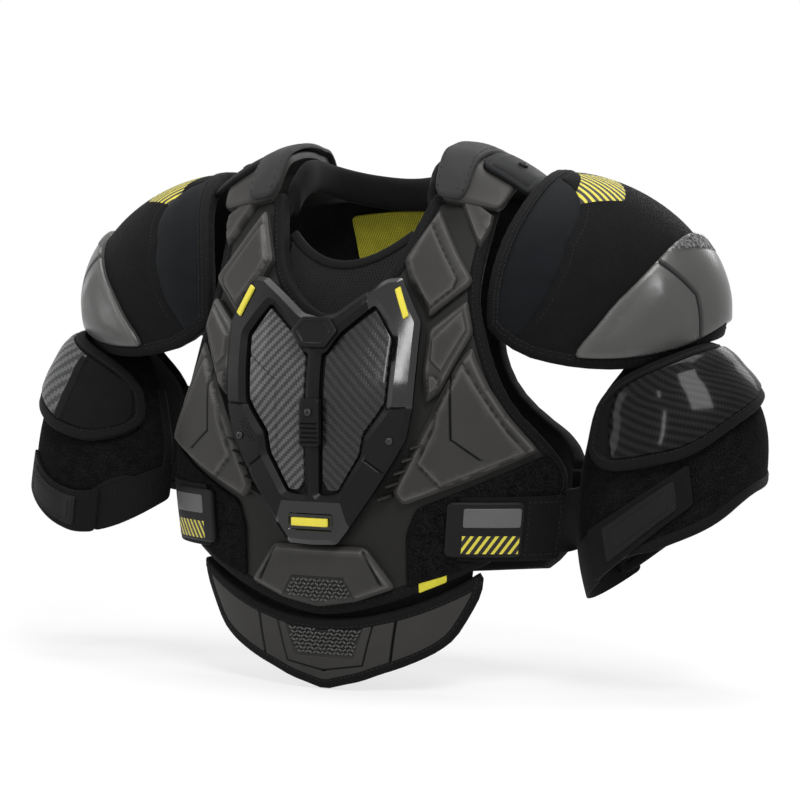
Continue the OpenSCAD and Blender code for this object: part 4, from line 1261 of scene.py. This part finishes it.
def side_straps():
    far = HALF_GIRTH - 184
    for side, f in SIDES.items():
        body = f"side_tab_{side}"
        web(f"side_elastic_{side}", FRONT, rounded(box_path(206, far, 59, 113), 2), PANEL_IN,
            Relief(PANEL_IN + STRAP_T, 0.8, 0.5), "elastic", "harness", "webbing", f"side_strap_{side}",
            "stretched", "chest_panel", flip=f, step=6)
        web(f"side_strap_tab_{side}", FRONT, rounded(box_path(120, 204, 55, 109), 4), TAB_IN,
            Relief(TAB_OUT, 0.8, 0.5), "webbing", body, "webbing", f"side_tab_{side}", "laid",
            f"loop_patch_{side}", flip=f, step=5)
        label, hatch = rounded(box_path(123, 167, 84, 100), 2), box_path(123, 167, 62, 77)
        r = Relief(TAB_OUT + 3.6, 1.5, 1.2, crisp=True).panel(label, 0.4, 0.5)
        pad(f"tab_grip_{side}", FRONT, rounded(box_path(110, 170, 59, 105), 5), TAB_OUT + 0.3, r,
            "moulded label tab_stripe", body, "moulded_black", (f"tab_plate_{side}",),
            zones=[(label, 1), (hatch, 2)], flip=f, step=3)
        stitch_line(f"tab_seam_{side}", FRONT, box_path(174, 200, 60, 104), TAB_OUT - 0.1, body, "webbing",
                    f, True)


# Shoulder caps

RIM = [(160, -15), (161, 4), (158, 30), (148, 58), (130, 86), (104, 110), (74, 128), (40, 140), (0, 146),
       (-40, 142), (-76, 130), (-108, 108), (-134, 84), (-150, 54), (-158, 24), (-160, 0), (-154, -18),
       (-134, -28), (-104, -28), (-70, -22), (-24, -12), (0, -10), (29, -19), (72, -36), (96, -40),
       (118, -40), (140, -35)]
CAP_PLATE = [(-98, -20, -12), (-88, -18, 8), (-74, -15, 24), (-58, -11, 38), (-40, -7, 49), (-22, -4, 55),
             (-2, -3, 58), (20, -9, 57), (40, -17, 51), (60, -24, 40), (78, -29, 26), (94, -32, 10),
             (104, -33, -8), (111, -33, -24)]
CAP_SEAM = [(45, 128), (57, 113), (69, 100), (106, 63), (125, 29), (139, -3), (147, -29)]
CAP_FRONT = [*CAP_SEAM, (175, -30), (175, 150), (32, 150)]
CAP_HATCH = [(57, 113), (70, 99), (40, 92), (-8, 116), (15, 132)]
CAP_ROUGH = [(44, 47), (11, 57), (-18, 52), (-18, 42), (12, 45)]


def cap_shield(side, f, path, body):
    r = Relief(CAP_PLATE_IN + 4, 2.5, 2, 0.8, 20).groove([(58, 39), (38, 15), (34, -14)], 2.6, 2.4)
    r.groove([(-60, 34), (-40, 12), (-36, -8)], 2.6, 2.4)
    r.panel([(102, -26), (92, 2), (76, 20), (63, 33), (46, 13), (42, -16), (72, -26)], 3.0, 12)
    r.panel([(-90, -12), (-84, 2), (-62, 28), (-46, 11), (-42, -4)], 3.0, 12)
    r.panel(CAP_ROUGH, 0.5, 1)
    pad(f"cap_shield_{side}", CAP, path, CAP_PLATE_IN - 1.2, r, "plate plate_rough", body, "cap_plate",
        (f"cap_plate_{side}",), zones=[(CAP_ROUGH, 1)], step=5, o=-1, flip=f)


def caps():
    path = smoothed(RIM, rounds=1)
    far_seam = mirrored(CAP_SEAM)
    shield = smoothed(tapered(CAP_PLATE), rounds=1)

    def tied(P):
        """Where the cover is sewn down: at its edge, its seams and under the shield."""
        sewn = np.minimum(seg_dist(P, CAP_SEAM, False), seg_dist(P, far_seam, False)) < 1.2
        return sewn | (seg_dist(P, path) < 10) | inside(P, shield) | (seg_dist(P, shield) < 4)

    for side, f in SIDES.items():
        body = f"cap_{side}"
        r = Relief(0, 6, 4).groove(CAP_SEAM, 1.8, 1.6).groove(far_seam, 1.8, 1.6)
        piece = drape(f"cap_cover_{side}", CAP, path, -CAP_T, r, "knit smooth stripe lining",
                      zones=[(CAP_FRONT, 1), (CAP_HATCH, 2)], under=3, step=6, o=-1, flip=f)
        swell(piece, tied, 4.0)
        keep(piece, body, "cap_cloth", (f"cap_shell_{side}",), 0.8)
        binding(f"cap_binding_{side}", CAP, path, -6.4, 14.6, body, "cap_cloth", 13, -1, f, (5.0, 9.4))
        for name, k in (("front", 1), ("back", -1)):
            line = [((x - 4) * k, y - 2) for x, y in CAP_SEAM[2:-1]]
            stitch_line(f"cap_seam_{name}_{side}", CAP, line, -0.25, body, "cap_cloth", f)
        cap_shield(side, f, shield, body)


# Arms

GUARD = [(-84, 66, 92), (-74, 57, 100), (-63, 54, 102), (-52, 54, 103), (-39, 54, 105), (-26, 54, 106),
         (-13, 54, 108), (0, 54, 110), (13, 54, 113), (26, 54, 116), (40, 54, 120), (53, 54, 124),
         (66, 54, 128), (80, 54, 130), (94, 55, 130), (108, 57, 122), (120, 62, 110), (128, 70, 96)]
# Last turn that a guard's hard plate reaches, and the turn where the right one changes to knit
PLATE_END = {"left": 109, "right": 121}
PLATE_SPLIT = 70
# How far the elastic laps under the pull tab, in degrees, and how much thinner and lower it lies
ELASTIC_LAP = 1.5
ELASTIC_THIN = 0.9
ELASTIC_LOW = 0.6


# Sleeve's upper and lower edge and how much lower it is at the front and the back; the turns around
# the arm of the right cuff's rise, and the middle, half width and run of the left cuff's drop
SLEEVE_TOP, SLEEVE_LOW, SLEEVE_BOW = 32, 165, 26
RISE_FROM, RISE_RUN = 95, 25
DROP_MID, DROP_HALF, DROP_RUN = 20, 100, 83


def cuff(g, side):
    """Lower edge of the sleeve at a turn around the arm."""
    w = SLEEVE_LOW + SLEEVE_BOW * (1 - math.cos(math.radians(min(90, abs(g)))))
    w -= CUFF_RISE[side] * float(ease((g - RISE_FROM) / RISE_RUN))
    return w + CUFF_DROP[side] * float(ease((DROP_HALF - abs(g - DROP_MID)) / DROP_RUN))


def guard_rows(side):
    def fall(g):
        return GUARD_DROP[side] * float(ease((g + 50) / 70) * ease((100 - g) / 50))
    return [(g, a, b + fall(g)) for g, a, b in GUARD]


def on_arm(rows):
    return smoothed([(g * ARM_MM, w) for g, w in tapered(rows)], rounds=1)


def sleeve(side, f, place, body):
    turns = np.arange(-150, 150.1, 10)
    edge = [(g * ARM_MM, cuff(g, side)) for g in turns]
    path = [(g * ARM_MM, SLEEVE_TOP) for g in turns] + edge[::-1]
    pad(f"sleeve_{side}", place, path, 0, Relief(LINER_T, 3, 2), "loop lining", body, "loop_fabric",
        (f"arm_liner_{side}",), 0.6, under=1, step=6, flip=f)
    edge = [(edge[0][0], 60)] + edge + [(edge[-1][0], 60)]
    C, t, N, S = track(place, smoothed(edge, False), LINER_T / 2, False, 5)
    piece = sweep(f"cuff_binding_{side}", C, N, S, oval(10, LINER_T + 2.2, 0.5), M["tape"], False, f)
    keep(piece, body, "loop_fabric")


def guard(side, f, place, body):
    """Bicep guard: the left one glossy carbon, the right one ribbed with a knit front."""
    rows = guard_rows(side)
    path = on_arm(rows)
    pad(f"guard_cover_{side}", place, path, GUARD_IN, Relief(GUARD_OUT, 3, 2.4), "knit", body, "cap_cloth",
        (f"guard_pad_{side}",), 0.8, step=5, flip=f)
    binding(f"guard_binding_{side}", place, path, GUARD_IN + 3.4, 8.4, body, "cap_cloth", 11, 1, f, (6.6,))
    path = on_arm([(g, a + 7, b - 8) for g, a, b in rows[1:-1] if g < PLATE_END[side]])
    mats, zones = "guard_carbon", []
    if f:
        split = PLATE_SPLIT * ARM_MM
        mats, zones = "guard_ribbed knit", [(box_path(split, 200, 40, 160), 1)]
        strip = rounded(box_path(split - 5, split + 5, 63, 120), 2)
        pad("guard_strip_right", place, strip, GUARD_OUT + 2.6, Relief(GUARD_OUT + 4.6, 1.5, 1.2), "tape",
            body, "cap_cloth", flip=f, step=4, rings=(0.8,))
    pad(f"guard_carbon_{side}", place, path, GUARD_OUT - 0.4, Relief(GUARD_OUT + 3.3, 1.6, 1.2, 0.6, 12),
        mats, body, "carbon", (f"guard_plate_{side}",), zones=zones, step=5, flip=f)


def strap(side, f, place, body):
    turn0, sag, tab = STRAP_TURN[side], STRAP_SAG[side], f"strap_tab_{side}"
    lap = turn0 + TAB_ARC
    grip = LINER_T + 0.8

    def placing(lift):
        """Placing along the strap, its middle line sagging at the front of the arm."""
        return lambda s, y, d: place(s, STRAP_MID + y + sag * (np.sin(np.radians(s / ARM_MM)) ** 2 - 0.55),
                                     d + lift(s / ARM_MM))

    def band(g0, g1, name, put, thick, *rest):
        path = rounded(box_path(g0 * ARM_MM, g1 * ARM_MM, -STRAP_LAP, STRAP_LAP), 4)
        web(name, put, path, 0, Relief(thick, 0.8, 0.5), *rest, f"sleeve_{side}", flip=f, step=5)

    flat = placing(lambda g: grip - ELASTIC_LOW + 0 * g)
    band(lap - ELASTIC_LAP, turn0 + STRAP_ARC[side], f"arm_elastic_{side}", flat, STRAP_T - ELASTIC_THIN,
         "elastic", body, "webbing", f"arm_strap_{side}", "stretched")
    climb = placing(lambda g: grip + 3.3 * ease((g - turn0 - TAB_ARC + 26) / 14))
    band(turn0, lap, f"arm_pull_tab_{side}", climb, STRAP_T, "webbing", tab, "moulded_black", tab, "laid")
    s0, s1 = (turn0 + 9) * ARM_MM, (turn0 + 54) * ARM_MM
    field = rounded(box_path(s0 + 6, s1 - 6, -9.5, 9.5), 2)
    pad(f"strap_patch_{side}", climb, rounded(box_path(s0, s1, -15, 15), 3), STRAP_T - 0.3,
        Relief(STRAP_T + 1.6, 1.2, 1.0).panel(field, 0.6, 0.8), "moulded", tab, "moulded_black", flip=f,
        step=3, rings=(0.8,))
    stitch_line(f"patch_seam_{side}", climb, box_path(s0 + 3, s1 - 3, -12.4, 12.4), STRAP_T + 1.5, tab,
                "moulded_black", f, True, 3.6)


def arms():
    for side, f in SIDES.items():
        args = side, f, ARM[side], f"arm_{side}"
        sleeve(*args)
        guard(*args)
        strap(*args)


# Stage

AZIMUTH, ELEVATION, DISTANCE = math.radians(26), math.radians(4), 2.4
AIM_HEIGHT, AIM_SIDE = 0.182, 0.0189
SOFT_LIGHT = 0.18
FLOOR_HALF, FLOOR_GAP = 6, 0.001
# Name, place, aim, size and power of each lamp
LAMPS = [
    ("key", (1.5, -1.6, 2.6), (0, 0, 0.2), (1.2, 1.2), 66),
    ("strip", (0.08, -2.16, 1.04), (0.07, -0.1, 0.23), (0.11, 1.0), 6),
    ("fill", (-2.4, -1.4, 1.0), (0, 0, 0.2), (0.8, 1.8), 15),
    ("top", (0, 0.2, 2.4), (0, 0, 0.2), (1.8, 1.0), 42),
    ("rim", (0.6, 2.4, 1.6), (0, 0, 0.25), (1.6, 1.0), 26)]


def camera():
    right = Vector((math.cos(AZIMUTH), math.sin(AZIMUTH), 0))
    away = Vector((math.sin(AZIMUTH) * math.cos(ELEVATION), -math.cos(AZIMUTH) * math.cos(ELEVATION),
                   math.sin(ELEVATION)))
    target = Vector((0, 0, AIM_HEIGHT)) + right * AIM_SIDE
    data = bpy.data.cameras.new("camera")
    data.lens, data.sensor_width = 120, 36
    obj = bpy.data.objects.new("camera", data)
    obj.location = target + away * DISTANCE
    obj.rotation_euler = (target - obj.location).to_track_quat("-Z", "Y").to_euler()
    bpy.context.scene.collection.objects.link(obj)
    bpy.context.scene.camera = obj


def lamp(name, at, aim, size, power):
    data = bpy.data.lights.new(name, "AREA")
    data.shape, data.size, data.size_y, data.energy = "RECTANGLE", size[0], size[1], power
    obj = bpy.data.objects.new(name, data)
    obj.location = at
    obj.rotation_euler = (Vector(aim) - Vector(at)).to_track_quat("-Z", "Y").to_euler()
    obj.visible_camera = False
    bpy.context.scene.collection.objects.link(obj)


def ray_mix(tree, seen, unseen):
    """Shader that differs between what is seen, also in gloss or through, and what lights."""
    path = tree.nodes.new("ShaderNodeLightPath")
    total = path.outputs["Is Camera Ray"]
    for name in ("Is Glossy Ray", "Is Transmission Ray"):
        most = tree.nodes.new("ShaderNodeMath")
        most.operation = "MAXIMUM"
        tree.links.new(total, most.inputs[0])
        tree.links.new(path.outputs[name], most.inputs[1])
        total = most.outputs[0]
    mix = tree.nodes.new("ShaderNodeMixShader")
    for value, socket in zip((total, unseen, seen), mix.inputs):
        tree.links.new(value, socket)
    return mix.outputs[0]


def backdrop(scene):
    """White where it is seen, and a soft light elsewhere."""
    world = bpy.data.worlds.new("studio")
    world.use_nodes = True
    scene.world = world
    tree = world.node_tree
    seen = tree.nodes["Background"]
    soft = tree.nodes.new("ShaderNodeBackground")
    for node, strength in ((seen, 1.0), (soft, SOFT_LIGHT)):
        node.inputs[0].default_value = (1, 1, 1, 1)
        node.inputs[1].default_value = strength
    tree.links.new(ray_mix(tree, seen.outputs[0], soft.outputs[0]), tree.nodes["World Output"].inputs[0])


def floor_material():
    """Pale floor that fades into the white backdrop away from the object."""
    n = Nodes("pale_floor", 0.9)
    n.colour((0.9, 0.9, 0.9, 1))
    glow, blend, where = n.new("Emission"), n.new("MixShader"), n.new("TexCoord")
    reach = n.new("VectorMath", operation="LENGTH")
    fade = n.new("MapRange", interpolation_type="SMOOTHSTEP")
    values = {"From Min": 0.35, "From Max": 1.3, "To Min": 0.72, "To Max": 1.0,
              "Value": reach.outputs["Value"]}
    for key, value in values.items():
        n.put(value, fade.inputs[key])
    pale = n.shader.outputs[0]
    for value, socket in ((where.outputs["Object"], reach.inputs[0]), ((1, 1, 1, 1), glow.inputs[0]),
                          (1.0, glow.inputs[1]), (fade.outputs["Result"], blend.inputs[0]),
                          (pale, blend.inputs[1]), (glow.outputs[0], blend.inputs[2])):
        n.put(value, socket)
    n.put(ray_mix(n.tree, blend.outputs[0], pale), n.tree.nodes["Material Output"].inputs[0])
    return n.mat


def stage():
    scene = bpy.context.scene
    scene.view_settings.view_transform = "Standard"
    backdrop(scene)
    mesh = bpy.data.meshes.new("floor")
    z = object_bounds()[0][2] - FLOOR_GAP
    corners = [(-1, -1), (1, -1), (1, 1), (-1, 1)]
    mesh.from_pydata([(x * FLOOR_HALF, y * FLOOR_HALF, z) for x, y in corners], [], [(0, 1, 2, 3)])
    floor = bpy.data.objects.new("floor", mesh)
    scene.collection.objects.link(floor)
    mesh.materials.append(floor_material())
    floor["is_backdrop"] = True
    for args in LAMPS:
        lamp(*args)


camera()
chest()
sternum()
shoulders()
rear()
belly()
side_straps()
caps()
arms()
stage()
